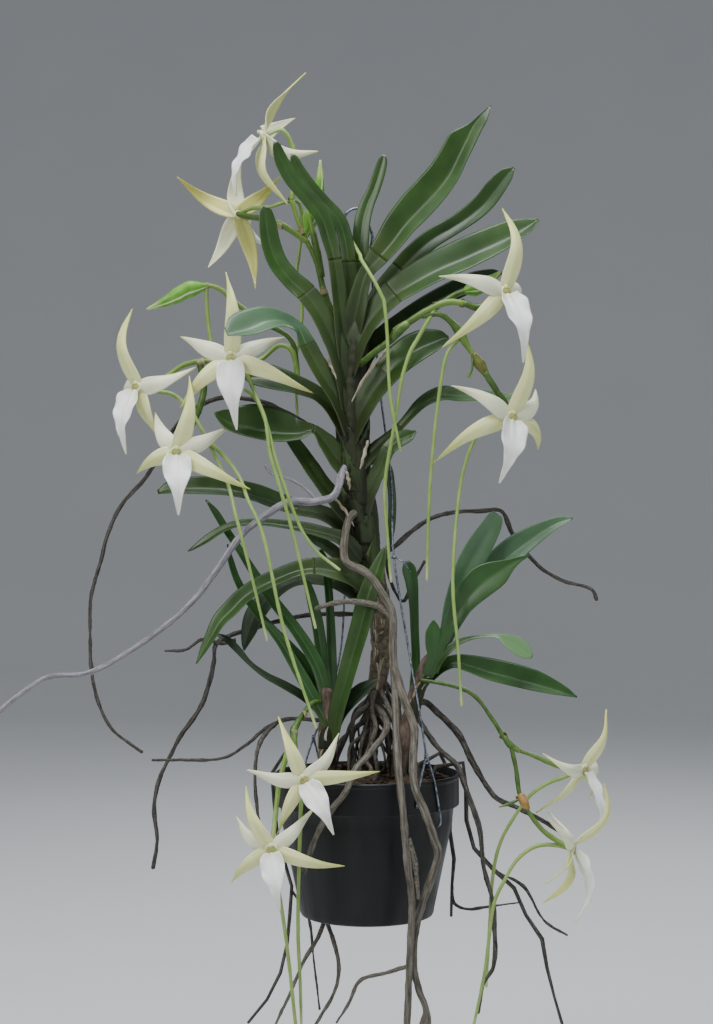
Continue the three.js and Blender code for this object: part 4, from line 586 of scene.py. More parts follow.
# Stations run from the stem to the tip: x, y, z and the half width, or both half widths where the left of the
# fold differs from the right. foot is the station where the foot ends and the blade begins; face is the way
# the upper side looks at the stem, faceTip at the tip.
stemLeaves = {
    "leaf_left_01": {"face": [0.5, -0.8, 0.3], "faceTip": [0.3, -0.9, 0.3], "fold": 0.4, "foot": 3, "stations": [
        [-5, -18, -183, 12], [-12, -26, -142, 12, 11], [-18, -31, -93, 9], [-23, -34, -54, 8], [-28, -35, -35, 8.5],
        [-34, -36, -15, 9], [-48, -37, 4, 9], [-65, -38, 24, 9], [-75, -38, 43, 8, 7], [-80, -38, 58, 4],
        [-82, -38, 61, 1]]},
    "leaf_left_02": {"face": [0.4, -0.9, 0.2], "faceTip": [0.2, -0.9, 0.4], "fold": 0.35, "foot": 3, "stations": [
        [-1, -14, -163, 9], [-4, -18, -127, 9], [-6, -21, -92, 8], [-9, -22, -55, 8], [-12, -22, -33, 8],
        [-19, -22, -13, 8], [-34, -22, 4, 7.5], [-48, -22, 21, 7], [-58, -22, 37, 7, 6], [-63, -22, 49, 4],
        [-65, -22, 52, 1]]},
    "leaf_left_03": {"face": [0.5, -0.8, 0.3], "faceTip": [0.3, -0.9, 0.2], "fold": 0.4, "foot": 4, "stations": [
        [-7, -22, -203, 14], [-15, -31, -162, 13], [-23, -34, -138, 12], [-38, -35, -106, 12], [-51, -35, -88, 12],
        [-66, -34, -74, 11], [-79, -33, -58, 11], [-86, -32, -39, 10.5], [-89, -31, -19, 9], [-91, -30, -4, 5, 6],
        [-91, -30, -1, 1.5, 2]]},
    "leaf_left_04": {"face": [0.5, -0.8, 0.3], "faceTip": [-0.15, -0.75, 0.7], "fold": 0.5, "foot": 4,
     "look": "pale", "stations": [
        [-7, -24, -221, 14], [-19, -34, -194, 12], [-30, -39, -176, 11], [-42, -43, -155, 10], [-50, -46, -139, 9.5],
        [-57, -49, -124, 7], [-70, -55, -117, 10, 9], [-86, -64, -118, 13, 16], [-103, -73, -126, 11, 20],
        [-116, -80, -130, 8, 17], [-124, -84, -132, 3, 8]]},
    "leaf_left_05": {"face": [0.3, -0.8, 0.4], "faceTip": [0, -0.75, 0.65], "fold": 0.5, "foot": 3, "stations": [
        [-7, -20, -231, 12], [-23, -24, -203, 10], [-38, -25, -188, 9], [-56, -25, -180, 11], [-76, -25, -174, 14],
        [-94, -24, -170, 14, 15], [-106, -23, -170, 8, 10], [-111, -23, -170, 2, 3]]},
    "leaf_left_06": {"face": [0.3, -0.8, 0.4], "faceTip": [0, -0.8, 0.6], "fold": 0.55, "foot": 3, "stations": [
        [-5, -20, -270, 13], [-19, -26, -253, 12], [-31, -28, -235, 10], [-43, -28, -222, 4, 6],
        [-58, -28, -225, 9, 16], [-81, -28, -225, 13, 24], [-106, -28, -220, 15, 24], [-125, -28, -215, 12, 17],
        [-137, -28, -208, 4, 8], [-141, -28, -205, 1, 2]]},
    "leaf_left_07": {"face": [0.4, -0.8, 0.4], "faceTip": [0.3, -0.8, 0.4], "fold": 0.4, "foot": 3,
     "look": "olive", "stations": [
        [-5, -16, -310, 12], [-19, -16, -295, 11], [-34, -15, -276, 9], [-47, -13, -257, 9], [-60, -10, -238, 8],
        [-70, -8, -224, 5], [-74, -8, -218, 1]]},
    "leaf_left_08": {"face": [0.2, -0.8, 0.5], "faceTip": [0, -0.8, 0.6], "fold": 0.5, "foot": 3, "stations": [
        [1, -10, -338, 12], [-15, -9, -317, 11], [-35, -6, -305, 9], [-57, -3, -300, 9], [-82, 0, -293, 9, 11],
        [-102, 2, -286, 9, 12], [-127, 4, -281, 9, 12], [-152, 6, -279, 9, 12], [-173, 8, -279, 8, 11],
        [-190, 9, -280, 6, 8], [-200, 10, -283, 2, 3]]},
    "leaf_left_09": {"face": [0.3, -0.8, 0.4], "fold": 0.35, "foot": 3, "stations": [
        [5, -6, -380, 9], [-7, -4, -360, 8], [-17, 0, -348, 7], [-29, 4, -338, 7], [-41, 7, -330, 6],
        [-51, 8, -323, 1.5]]},
    "leaf_left_10": {"face": [0.1, -0.8, 0.5], "faceTip": [0, -0.7, 0.7], "fold": 0.5, "foot": 3, "stations": [
        [3, -20, -352, 11], [-14, -26, -331, 9], [-32, -26, -324, 7], [-51, -26, -319, 6, 7], [-71, -26, -316, 4, 6],
        [-94, -26, -313, 3.5, 4.5], [-116, -26, -314, 3.5, 4.5], [-133, -25, -320, 4, 5], [-150, -24, -331, 4, 5],
        [-163, -23, -339, 2], [-167, -22, -341, 0.8]]},
    "leaf_left_11": {"face": [0, -0.8, 0.6], "faceTip": [-0.5, -0.8, 0.3], "fold": 0.5, "foot": 3, "stations": [
        [19, -14, -393, 14], [0, -32, -369, 14], [-22, -38, -361, 11, 13], [-41, -40, -358, 8, 11],
        [-58, -41, -360, 8, 10], [-76, -42, -367, 8, 10], [-95, -44, -376, 8, 10], [-110, -45, -386, 8, 10],
        [-122, -46, -398, 8, 10], [-133, -47, -409, 7, 9], [-142, -48, -424, 6, 7], [-150, -48, -438, 3.5, 4.5],
        [-157, -48, -450, 0.8]]},
    "leaf_left_12": {"face": [0, -0.7, 0.7], "faceTip": [-0.6, -0.8, 0.1], "fold": 0.35, "foot": 3,
     "look": "shade", "stations": [
        [13, -10, -400, 9], [-5, -3, -383, 8], [-27, 0, -373, 6], [-57, 3, -371, 6], [-77, 4, -379, 8, 7],
        [-91, 5, -391, 11, 10], [-102, 6, -406, 12, 11], [-108, 6, -422, 10, 9], [-112, 6, -436, 4],
        [-113, 6, -441, 1]]},
    "leaf_back_01": {"face": [-0.2, -0.95, 0.1], "fold": 0.2, "foot": 2, "stations": [
        [1, -10, -126, 8], [4, -8, -81, 7], [4, -7, -53, 7.5], [4, -7, -31, 8.5], [6, -7, -11, 8.5, 8],
        [10, -7, 4, 7.5], [17, -7, 20, 6.5], [23, -7, 38, 6], [26, -7, 49, 4.5], [27, -7, 54, 1.5]]},
    "leaf_right_01": {"face": [-0.2, -0.85, 0.45], "faceTip": [-0.1, -0.95, 0.2], "fold": 0.5, "foot": 3, "stations": [
        [-7, -20, -144, 12, 10], [0, -30, -105, 11], [9, -34, -70, 8], [23, -35, -52, 13, 11], [35, -36, -38, 17, 12],
        [47, -37, -22, 19, 13], [62, -38, -6, 21, 14], [79, -39, 12, 21, 13], [90, -40, 27, 20, 12],
        [99, -40, 45, 18, 11], [107, -41, 62, 16, 11], [113, -41, 75, 5, 11], [121, -42, 86, 1.5, 9],
        [131, -42, 96, 0.8, 1]]},
    "leaf_right_02": {"face": [-0.4, -0.85, 0.3], "faceTip": [-0.1, -0.95, 0.2], "fold": 0.25, "foot": 3, "stations": [
        [-3, -14, -153, 10], [9, -16, -120, 11], [25, -18, -87, 12], [43, -18, -62, 11], [58, -18, -46, 11],
        [74, -17, -32, 11], [94, -16, -20, 11, 10], [112, -15, -8, 11, 10], [127, -14, 5, 11, 10],
        [139, -13, 20, 11, 9], [149, -12, 33, 8, 7], [156, -12, 40, 2]]},
    "leaf_right_03": {"face": [-0.4, -0.8, 0.45], "faceTip": [0, -0.8, 0.6], "fold": 0.5, "foot": 3, "stations": [
        [-7, -24, -164, 14, 12], [5, -32, -131, 14, 13], [21, -35, -106, 14], [37, -36, -90, 16, 15],
        [58, -37, -77, 18, 17], [82, -37, -64, 20, 19], [103, -37, -55, 21, 19], [123, -37, -46, 20, 17],
        [141, -36, -38, 19, 14], [158, -36, -29, 16, 10], [170, -35, -21, 9, 8], [178, -35, -15, 1.5, 3]]},
    "leaf_right_04": {"face": [-0.3, -0.8, 0.5], "faceTip": [0.1, -0.9, 0.3], "fold": 0.35, "foot": 3,
     "look": "shade", "stations": [
        [-5, -16, -183, 11], [7, -17, -153, 10], [25, -16, -129, 10], [48, -14, -111, 10], [73, -12, -95, 11],
        [98, -10, -82, 11], [120, -9, -72, 10], [137, -8, -66, 6], [144, -8, -64, 1.5]]},
    "leaf_right_05": {"face": [-0.4, -0.75, 0.5], "faceTip": [-0.1, -0.85, 0.5], "fold": 0.45, "foot": 3, "stations": [
        [-5, -22, -231, 13, 12], [5, -32, -207, 14], [17, -37, -185, 15], [30, -39, -168, 17], [44, -40, -154, 18, 19],
        [59, -40, -144, 18], [74, -40, -137, 15, 14], [84, -40, -133, 9, 8], [90, -40, -132, 2]]},
    "leaf_right_06": {"face": [-0.2, -0.7, 0.6], "faceTip": [0, -0.75, 0.65], "fold": 0.35, "foot": 3,
     "look": "paleTip", "stations": [
        [1, -18, -260, 10], [17, -24, -243, 9], [31, -26, -229, 6], [42, -27, -219, 5], [53, -27, -207, 6, 5.5],
        [63, -26, -197, 8, 6.5], [73, -25, -191, 10, 7], [86, -24, -187, 11, 8], [102, -23, -188, 9, 8],
        [122, -21, -188, 7], [142, -19, -188, 5, 6], [154, -18, -188, 3, 4], [160, -18, -187, 1]]},
    "leaf_right_07": {"face": [-0.4, -0.85, 0.3], "faceTip": [-0.2, -0.9, 0.3], "fold": 0.3, "foot": 3, "stations": [
        [5, -20, -300, 12], [15, -28, -277, 9], [24, -32, -257, 8], [31, -35, -241, 8], [41, -36, -232, 8.5],
        [51, -36, -227, 7], [58, -36, -223, 1.5]]},
    "leaf_right_08": {"face": [0.5, -0.85, 0.1], "fold": 0.2, "foot": 2, "stations": [
        [-3, -14, -256, 8], [17, 2, -248, 6.5], [30, 13, -258, 5.5], [34, 17, -276, 4.5], [35, 19, -300, 4.5],
        [34, 20, -322, 4], [33, 20, -338, 1.2]]},
}


def stemSpot(z):
    for lower, upper in zip(stemPath, stemPath[1:]):
        if upper[2] >= z:
            return Vector(lower).lerp(Vector(upper), (z - lower[2]) / (upper[2] - lower[2]))
    return Vector(stemPath[-1])


def stemGirth(z):
    heights = [p[2] for p in stemPath]
    for i in range(len(heights) - 1):
        if heights[i + 1] >= z:
            return readAlong(stemRadii, (i + (z - heights[i]) / (heights[i + 1] - heights[i])) / (len(heights) - 1))
    return stemRadii[-1]


def readWidths(stations, at):
    # Both half widths at a place between stations, on a smooth curve through them
    i = min(int(at), len(stations) - 2)
    t = at - i
    near = [stations[min(max(k, 0), len(stations) - 1)] for k in (i - 1, i, i + 1, i + 2)]
    widths = []
    for side in (3, -1):
        a, b, c, d = (station[side] for station in near)
        wide = b + 0.5 * t * (c - a + t * (2 * a - 5 * b + 4 * c - d + t * (3 * (b - c) + d - a)))
        widths.append(max(wide, 0.5))
    return widths


def stationFrames(leaf, first, last, count):
    # Centre, side, upper side's way and both half widths, at even steps between two stations
    stations = leaf["stations"]
    face, faceTip = (Vector(leaf.get(key, leaf["face"])).normalized() for key in ("face", "faceTip"))
    steps = evenSteps(finePath([s[:3] for s in stations]), count, round(first * spanSteps), round(last * spanSteps))
    frames = []
    for (spot, place), run in zip(steps, tangents([spot for spot, place in steps])):
        look = face.lerp(faceTip, place / spanSteps / (len(stations) - 1))
        side = run.cross(look).normalized()
        frames.append((spot, side, side.cross(run).normalized(), *readWidths(stations, place / spanSteps)))
    return frames


bladeLook = {"along": 52, "across": 16, "edge": 0.28, "flesh": 0.5, "keel": 0.55, "crease": 0.12, "arch": 0.05,
             "wave": 0.5, "waveLength": 17.0, "sway": 0.7, "swayLength": 41.0}


def foldLift(w, half, fold, crease, arch):
    # How far the side of a folded blade rises over its middle
    lift = fold * half * (math.sqrt(w * w + crease) - math.sqrt(crease)) / 0.96
    return lift - arch * half * ((abs(w) - 0.5) ** 2 * 4 - 1)


def addBlade(bm, leaf, first=0, material=0):
    look, along = bladeLook, bladeLook["along"]
    frames = stationFrames(leaf, first, len(leaf["stations"]) - 1, along)
    fold, length = leaf["fold"], sum((b[0] - a[0]).length for a, b in zip(frames, frames[1:]))
    phase = leaf["stations"][0][2] * 0.7 + leaf["stations"][1][0]

    def place(t, w, side):
        centre, across, up, left, right = frames[round(t * along)]
        half = left if w < 0 else right
        lift = foldLift(w, half, fold, look["crease"], look["arch"])
        wave = look["wave"] * min(half / 9.0, 1.2) * ease(0.0, 0.1, t)
        lift += wave * math.sin(t * length / look["waveLength"] + phase + 1.5 * w) * abs(w)
        lift += look["sway"] * math.sin(t * length / look["swayLength"] + phase) * ease(0.1, 0.5, t)
        thick = look["edge"] + look["flesh"] * (1 - w * w) * (1 - 0.4 * t)
        if side < 0:
            thick += look["keel"] * bump(w, 0.09) * (1 - 0.7 * t) * ease(0.0, 0.05, t)
        return centre + across * (w * half) + up * (lift + side * thick)

    addSheet(bm, along, look["across"], place, material)


footLook = {"along": 40, "across": 16, "runIn": 0.15, "edge": 0.34, "flesh": 0.56, "swell": 3.0, "crease": 0.012,
            "ripple": 0.9, "fray": 0.5}


def addFoot(bm, leaf, material):
    # The thick folded foot of a leaf: it clasps the stem, thins towards its blade and runs out inside it
    look, along = footLook, footLook["along"]
    end = leaf["foot"] + look["runIn"]
    frames = stationFrames(leaf, 0, end, along)
    fold, phase, joint = leaf["fold"], leaf["stations"][0][2], leaf["foot"] / end

    def place(t, w, side):
        centre, across, up, left, right = frames[round(t * along)]
        alike, inside = ease(0.5, joint, t), ease(joint, 1.0, t)
        half = (left if w < 0 else right) * (1 - 0.14 * inside)
        crease = look["crease"] + (bladeLook["crease"] - look["crease"]) * alike
        lift = foldLift(w, half, fold, crease, bladeLook["arch"] * alike)
        lift += look["ripple"] * noise.noise(Vector((t * 4, w * 1.5, phase))) * abs(w) * (1 - alike)
        thick = look["edge"] + (1 - w * w) * (look["swell"] * (1 - t) ** 1.2 + look["flesh"])
        thick *= 1 - 0.8 * inside
        fray = look["fray"] * noise.noise(Vector((t * 9, 0.0, phase))) * abs(w) ** 3 * (1 - alike)
        return centre + across * (w * half + (fray if w > 0 else -fray)) + up * (lift + side * thick)

    addSheet(bm, along, look["across"], place, material)


sheathLook = {"along": 14, "across": 12, "clear": 1.0, "endRadius": 7.5, "endWide": 0.95, "lumps": 0.5,
              "rimAcross": 0.09, "rimAlong": 0.93}


def addSheath(bm, axis, girth, start, rise, wall, material, rimMaterial, wide, droop, flare=0.0):
    # A gutter that grips the stem and narrows towards the foot of its leaf, with a thin membrane at its rim
    look, start = sheathLook, Vector(start)
    out = start - axis(start.z)
    out = Vector((out.x, out.y, 0.0)).normalized()
    sideways = Vector((0, 0, 1)).cross(out)

    def place(t, w, side):
        z = start.z - rise + rise * t
        hug = axis(z)
        hug.z = z
        radius = girth(z) + look["clear"]
        away = ease(0.35, 1.0, t)
        middle = hug.lerp(start - out * look["endRadius"], away)
        radius = radius + (look["endRadius"] - radius) * away + side * wall / 2 * (1 - 0.6 * abs(w) ** 3)
        radius += flare * t * t * abs(w)
        turn = w * (wide + (look["endWide"] - wide) * away)
        spot = middle + out * (math.cos(turn) * radius) + sideways * (math.sin(turn) * radius)
        spot.z -= droop * abs(w) ** 1.5 * ease(0.3, 1.0, t)
        spot += out * (look["lumps"] * noise.noise(spot / 6.0))
        return spot

    sheet = addSheet(bm, look["along"], look["across"], place, material)
    uvMap, rim = bm.loops.layers.uv.active, look["rimAcross"]
    for face in facesOf(sheet):
        uvs = [loop[uvMap].uv for loop in face.loops]
        if all(uv.y < rim or uv.y > 1 - rim or (uv.x % 2.0) > look["rimAlong"] for uv in uvs):
            face.material_index = rimMaterial


# Dry skins that have split off the feet and stand a little proud: a line down each, and its half width
membraneLook = {"along": 20, "across": 4, "face": (0.1, -0.95, 0.2), "faceTip": (-0.1, -0.95, 0.2), "wall": 0.12}
membranes = [
    ([(31, -44, -140), (15, -47, -160), (2, -46, -180), (-5, -42, -194)], 1.9),
    ([(-30, -42, -150), (-25, -43, -160), (-20, -42, -172)], 1.6),
    ([(11, -44, -232), (7, -45, -246), (3, -42, -260)], 1.8),
    ([(-10, -40, -262), (-8, -41, -272), (-7, -39, -280)], 1.8),
    ([(-22, -36, -288), (-12, -35, -300), (-3, -33, -316)], 1.6),
]


def addMembrane(bm, points, width, material):
    look, along = membraneLook, membraneLook["along"]
    frames = bladeFrames(points, look["face"], look["faceTip"], along)

    def place(t, w, side):
        centre, across, up = frames[round(t * along)]
        half = width * (0.35 + 0.65 * math.sin(math.pi * min(t * 0.9 + 0.1, 1.0))) * (1 + 0.3 * math.sin(19 * t + w))
        lift = -0.9 * half * w * w + 0.5 * math.sin(14 * t) + look["wall"] * side
        return centre + across * (w * half) + up * lift

    addSheet(bm, along, look["across"], place, material)


def makeMainStem():
    look = stemLook
    bm = newSheetMesh()
    count = look["steps"]
    length = pathLength(stemPath)
    radii = [look["shrink"] * readAlong(stemRadii, i / count) + look["scarHeight"] *
             abs(math.sin(math.pi * i / count * length / look["scarEvery"])) for i in range(count + 1)]
    addTubes(bm, [(radii, stemPath)], rings=5, step=2.2, lumps=look["lumps"])
    for face in bm.faces:
        if face.calc_center_median().z > look["greenFrom"]:
            face.material_index = 1
    for leaf in stemLeaves.values():
        addFoot(bm, leaf, 4)
    random.seed(11)
    z, rank = look["sheathFrom"], 0
    while z < look["sheathTo"]:
        turn = (0.0 if rank % 2 else math.pi) + random.uniform(-0.9, 0.9)
        reach = stemGirth(z) + random.uniform(0.5, 3.0)
        tip = stemSpot(z) + compass(turn) * reach
        tip.z = z
        dry = z < look["greenFrom"]
        kind = look["drySheath" if dry else "greenSheath"]
        rise = random.uniform(*kind["rise"])
        skin, rim = (3, 2) if dry else (random.choice((1, 1, 4)), 1)
        addSheath(bm, stemSpot, stemGirth, tip, rise, look["sheathWall"], skin, rim, kind["wide"],
                  random.uniform(*kind["droop"]), look["flare"])
        z += look["sheathEvery"] * random.uniform(0.7, 1.2)
        rank += 1
    for points, width in membranes:
        addMembrane(bm, points, width, 2)
    return finishPiece("mainStem", bm, [oldStem, sheathFibre, sheathEdge, bractPaper, leafFoot], "stem", "main_stem")


makeMainStem()

for node, leaf in stemLeaves.items():
    bm = newSheetMesh()
    addBlade(bm, leaf, leaf["foot"])
    finishPiece(pieceName(node), bm, [leafLooks[leaf.get("look", "dark")]], "leaf", node)
print("stem and leaves made:", len(stemLeaves))

# Side shoots

shootLook = {"radii": [7, 8, 8, 7, 6], "step": 3.0, "lumps": 0.7,
             "sheathRise": 22.0, "sheathWall": 0.7, "sheathWide": 1.7, "sheathDroop": 5.0}
shoots = {
    "shoot_left": {"stem": [[-30, -30, -594], [-30, -32, -530], [-30, -34, -500], [-30, -35, -478]], "leaves": [
        {"face": [0.3, -0.85, 0.4], "fold": 0.45, "stations": [
            [-25, -34, -508, 7], [-30, -34, -487, 7], [-38, -34, -457, 7], [-49, -33, -436, 7], [-64, -31, -414, 6.5],
            [-81, -29, -393, 6], [-94, -27, -375, 5], [-106, -24, -357, 4.5], [-118, -21, -338, 4],
            [-130, -18, -320, 4], [-141, -15, -302, 3.5], [-150, -13, -290, 1]]},
        {"face": [0.3, -0.85, 0.4], "fold": 0.4, "stations": [
            [-28, -26, -509, 6], [-37, -24, -482, 6], [-50, -21, -456, 6], [-66, -19, -437, 5.5], [-84, -17, -419, 5],
            [-100, -15, -401, 4.5], [-113, -14, -382, 4], [-121, -13, -366, 3.5], [-126, -12, -350, 3],
            [-129, -11, -334, 0.8]]},
        {"face": [0.3, -0.85, 0.4], "fold": 0.45, "stations": [
            [-28, -38, -512, 6], [-40, -41, -490, 6.5], [-52, -43, -468, 6.5], [-64, -45, -447, 6],
            [-74, -46, -430, 5.5], [-84, -47, -417, 4.5], [-93, -48, -407, 1]]},
        {"face": [0, -0.8, 0.6], "faceTip": [-0.3, -0.8, 0.5], "fold": 0.4, "look": "shade", "stations": [
            [-29, -30, -513, 5], [-38, -34, -497, 4.5], [-52, -37, -484, 4.5], [-70, -38, -473, 4.5],
            [-89, -38, -463, 3.5], [-105, -36, -451, 2.5], [-117, -33, -438, 3.5], [-129, -30, -427, 3.5, 3],
            [-141, -28, -422, 1]]},
        {"face": [0.5, -0.85, 0.2], "fold": 0.4, "stations": [
            [-27, -26, -503, 7], [-31, -24, -478, 7], [-36, -22, -443, 7], [-40, -20, -414, 6.5], [-45, -18, -391, 6],
            [-50, -16, -373, 4], [-53, -15, -366, 1]]},
        {"face": [0.6, -0.8, 0.1], "fold": 0.35, "stations": [
            [-24, -22, -510, 6], [-25, -18, -478, 6], [-26, -17, -439, 5.5], [-27, -17, -404, 5], [-29, -17, -374, 5],
            [-32, -17, -352, 5], [-36, -17, -339, 2]]},
        {"face": [-0.4, -0.9, 0.2], "fold": 0.4, "look": "olive", "stations": [
            [-24, -38, -528, 7], [-19, -42, -498, 8], [-11, -44, -468, 9], [-3, -45, -439, 10], [5, -46, -410, 10.5],
            [11, -46, -384, 10], [19, -45, -361, 8, 9], [25, -44, -343, 4, 5], [28, -44, -335, 1]]},
        {"face": [-0.5, -0.8, 0.3], "fold": 0.3, "look": "shade", "stations": [
            [-24, -32, -524, 6], [-16, -34, -502, 7], [-6, -35, -488, 8], [6, -35, -477, 7.5], [16, -34, -470, 4],
            [21, -34, -467, 1]]},
    ]},
    "shoot_right": {"stem": [[36, -14, -594], [46, -22, -530], [52, -24, -506], [60, -26, -475], [70, -28, -450],
        [84, -30, -436]], "leaves": [
        {"face": [0.1, -0.98, 0.1], "fold": 0.3, "look": "pale", "stations": [
            [75, -30, -460, 5], [83, -30, -436, 5], [88, -29, -416, 6], [94, -28, -395, 9, 8], [102, -27, -373, 11],
            [112, -26, -351, 13], [123, -25, -333, 13, 12], [132, -24, -318, 11, 10], [137, -23, -307, 8],
            [139, -23, -304, 5]]},
        {"face": [-0.2, -0.9, 0.35], "faceTip": [0, -0.85, 0.5], "fold": 0.4, "look": "pale", "stations": [
            [73, -22, -462, 5], [84, -20, -439, 6], [97, -17, -413, 7], [112, -14, -389, 9], [128, -12, -369, 12],
            [145, -11, -352, 15, 13], [161, -10, -339, 15, 11], [177, -9, -327, 12, 9], [192, -9, -317, 8, 7],
            [205, -8, -311, 5.5, 4.5], [215, -8, -308, 1]]},
        {"face": [-0.2, -0.9, 0.2], "faceTip": [0.1, -0.95, 0.1], "fold": 0.3, "look": "young", "stations": [
            [72, -29, -462, 5], [82, -37, -437, 4], [90, -42, -416, 5], [97, -44, -403, 8], [108, -46, -386, 13, 12],
            [122, -47, -371, 16, 15], [136, -48, -361, 12, 14], [148, -48, -353, 5, 8], [159, -48, -348, 2.5, 3],
            [169, -48, -344, 0.8]]},
        {"face": [0.1, -0.98, 0.1], "fold": 0.25, "look": "young", "stations": [
            [60, -27, -480, 5], [70, -33, -461, 6], [76, -36, -445, 7], [76, -37, -432, 9], [75, -38, -420, 8],
            [75, -38, -412, 4], [75, -38, -408, 1]]},
        {"face": [0, -0.8, 0.6], "faceTip": [0.3, -0.85, 0.45], "fold": 0.35, "look": "paleTip", "stations": [
            [71, -29, -463, 5], [85, -38, -442, 5], [98, -41, -431, 3.5], [111, -42, -426, 2.2], [125, -43, -424, 1.8],
            [138, -45, -424, 2.5], [146, -46, -428, 7], [156, -47, -434, 10], [165, -48, -440, 8],
            [171, -48, -444, 2]]},
        {"face": [0, -0.8, 0.6], "faceTip": [0, -0.85, 0.5], "fold": 0.5, "stations": [
            [72, -24, -466, 6], [84, -26, -456, 7, 6], [97, -27, -451, 8, 7], [111, -28, -454, 11, 9],
            [131, -30, -460, 14, 11], [152, -32, -465, 14, 11], [174, -34, -471, 13, 9], [194, -35, -477, 9, 6],
            [207, -36, -481, 5, 3], [216, -36, -484, 0.8]]},
        {"face": [0.3, -0.95, 0], "fold": 0.25, "stations": [
            [55, -22, -494, 5], [56, -18, -476, 4.5], [58, -13, -449, 4.5], [57, -8, -420, 4.5], [56, -5, -392, 5],
            [54, -4, -372, 6.5], [51, -3, -358, 7], [49, -3, -351, 3]]},
    ]},
}


def makeShoot(node, shoot):
    look, path, radii = shootLook, shoot["stem"], shootLook["radii"]
    bm = newSheetMesh()
    addTubes(bm, [(radii, path)], rings=4, step=look["step"], lumps=look["lumps"])
    spots = smoothPath(path, 60)

    def axis(z):
        return min(spots, key=lambda p: abs(p.z - z)).copy()

    def girth(z):
        return readAlong(radii, (z - path[0][2]) / (path[-1][2] - path[0][2]))

    looks = ["young", "pale", "olive", "shade", "paleTip"]
    for leaf in shoot["leaves"]:
        # a short sheath holds the foot of each blade
        addSheath(bm, axis, girth, leaf["stations"][0][:3], look["sheathRise"], look["sheathWall"], 1, 2,
                  look["sheathWide"], look["sheathDroop"])
        addBlade(bm, leaf, 0, 3 + looks.index(leaf.get("look", "young")))
    return finishPiece(pieceName(node), bm, [oldStem, sheathFibre, sheathEdge] + [leafLooks[name] for name in looks],
                       "young_leaf", node)


for node, shoot in shoots.items():
    makeShoot(node, shoot)
print("shoots made")

# Blooms: at is the throat, face the way the bloom looks, and the tips are offsets from the throat

bloomParts = ("at", "face", "dorsal", "petalA", "petalB", "sepalA", "sepalB", "lip")
bloomRows = {
    "bloom_01": ([-95, 6, 75], [-0.93, -0.1, -0.25], [42, 4, 64], [31, 42, 26], [56, -14, -18], [25, -14, -72],
        [20, 16, -62], [-26, -6, -61]),
    "bloom_02": ([-122, 44, 2], [-0.15, 0.95, -0.1], [-61, -12, 36], [5, -10, 60], [-29, -14, -56], [43, -14, 35],
        [19, -18, -79], [24, 50, -24]),
    "bloom_03": ([-218, -20, -179], [-0.6, -0.8, 0], [-7, 10, 79], [59, -5, 20], [-14, 60, 8], [-24, 34, -46],
        [25, 10, -57], [-9, -12, -66]),
    "bloom_04": ([-123, -48, -152], [-0.08, -0.98, 0.1], [-6, 14, 86], [-52, 34, 24], [51, 30, 23], [-52, 22, -47],
        [80, 14, -33], [6, -6, -70]),
    "bloom_05": ([-176, -50, -244], [0.1, -0.97, -0.1], [12, 8, 75], [51, 20, 26], [-24, 30, 40], [-40, 14, -20],
        [72, -2, -36], [3, -12, -61]),
    "bloom_06": ([144, -64, -89], [0.45, -0.85, 0.1], [-1, 20, 84], [-65, -10, 14], [18, 60, 12], [-61, -6, -54],
        [26, 40, -44], [16, -8, -69]),
    "bloom_07": ([151, -50, -210], [0.4, -0.9, 0.1], [16, 24, 82], [-59, -4, 31], [27, 44, 30], [-76, 4, -44],
        [30, 42, -29], [-13, -8, -64]),
    "bloom_08": ([-50, -122, -554], [0.3, -0.93, -0.05], [-24, 14, 58], [-54, 14, 8], [33, 20, 42], [72, 8, 7],
        [-25, 14, -53], [28, -6, -50]),
    "bloom_09": ([-80, -128, -618], [-0.05, -1, -0.1], [-25, 12, 57], [-35, 32, 26], [40, 22, 36], [68, 12, -18],
        [-39, 20, -35], [8, -8, -56]),
    "bloom_10": ([224, -26, -557], [0.7, -0.7, 0], [26, 20, 58], [-43, -30, 20], [15, 50, 7], [-45, 8, -43],
        [12, 44, -34], [11, -4, -68]),
    "bloom_11": ([209, -64, -628], [0.97, -0.2, -0.1], [33, 8, 62], [-27, -30, 34], [-20, 40, 30], [-27, -26, -29],
        [-25, 22, -57], [2, -6, -70]),
}
blooms = {node: dict(zip(bloomParts, row)) for node, row in bloomRows.items()}
# the tepals of a bloom seen from its side roll a little towards the light, and the low blooms are narrower
bloomTurns = {"bloom_01": 0.5, "bloom_10": 0.25, "bloom_11": 0.6}
bloomSlims = {"bloom_08": 0.84, "bloom_09": 0.82, "bloom_10": 0.78, "bloom_11": 0.76}
# shape is the share of the width at even steps from the throat to the tip, and back is how far behind the
# throat a tepal starts
tepalLook = {
    "along": 30, "across": 10, "curl": 0.2, "hook": 0.08, "twist": 0.9, "edge": 0.3, "flesh": 0.6,
    "cup": 0.2, "ridge": 0.5, "pleat": 0.25, "ripple": 0.35, "keel": 0.45,
    "dorsal": {"width": 17.5, "sag": 0.0, "back": 1.8}, "sepal": {"width": 17.5, "sag": 0.04, "back": 1.8},
    "petal": {"width": 18.0, "sag": -0.07, "back": 0.4},
    "shape": [0.64, 0.9, 1.0, 0.97, 0.86, 0.72, 0.57, 0.43, 0.3, 0.18, 0.04],
}
lipLook = {
    "along": 40, "across": 16, "width": 28.0, "curl": 0.19, "out": 2.0, "down": 2.5, "edge": 0.3, "flesh": 0.35,
    "ruffle": 1.1, "callus": 1.3, "groove": 0.9,
    "shape": [0.6, 0.9, 1.0, 1.0, 0.9, 0.69, 0.46, 0.32, 0.24, 0.16, 0.05],
}


def readShape(shape, t):
    # Softened between the steps
    return (readAlong(shape, t - 0.035) + 2 * readAlong(shape, t) + readAlong(shape, min(t + 0.035, 1.0))) / 4


def rolled(across, up, turn):
    return across * math.cos(turn) + up * math.sin(turn), up * math.cos(turn) - across * math.sin(turn)


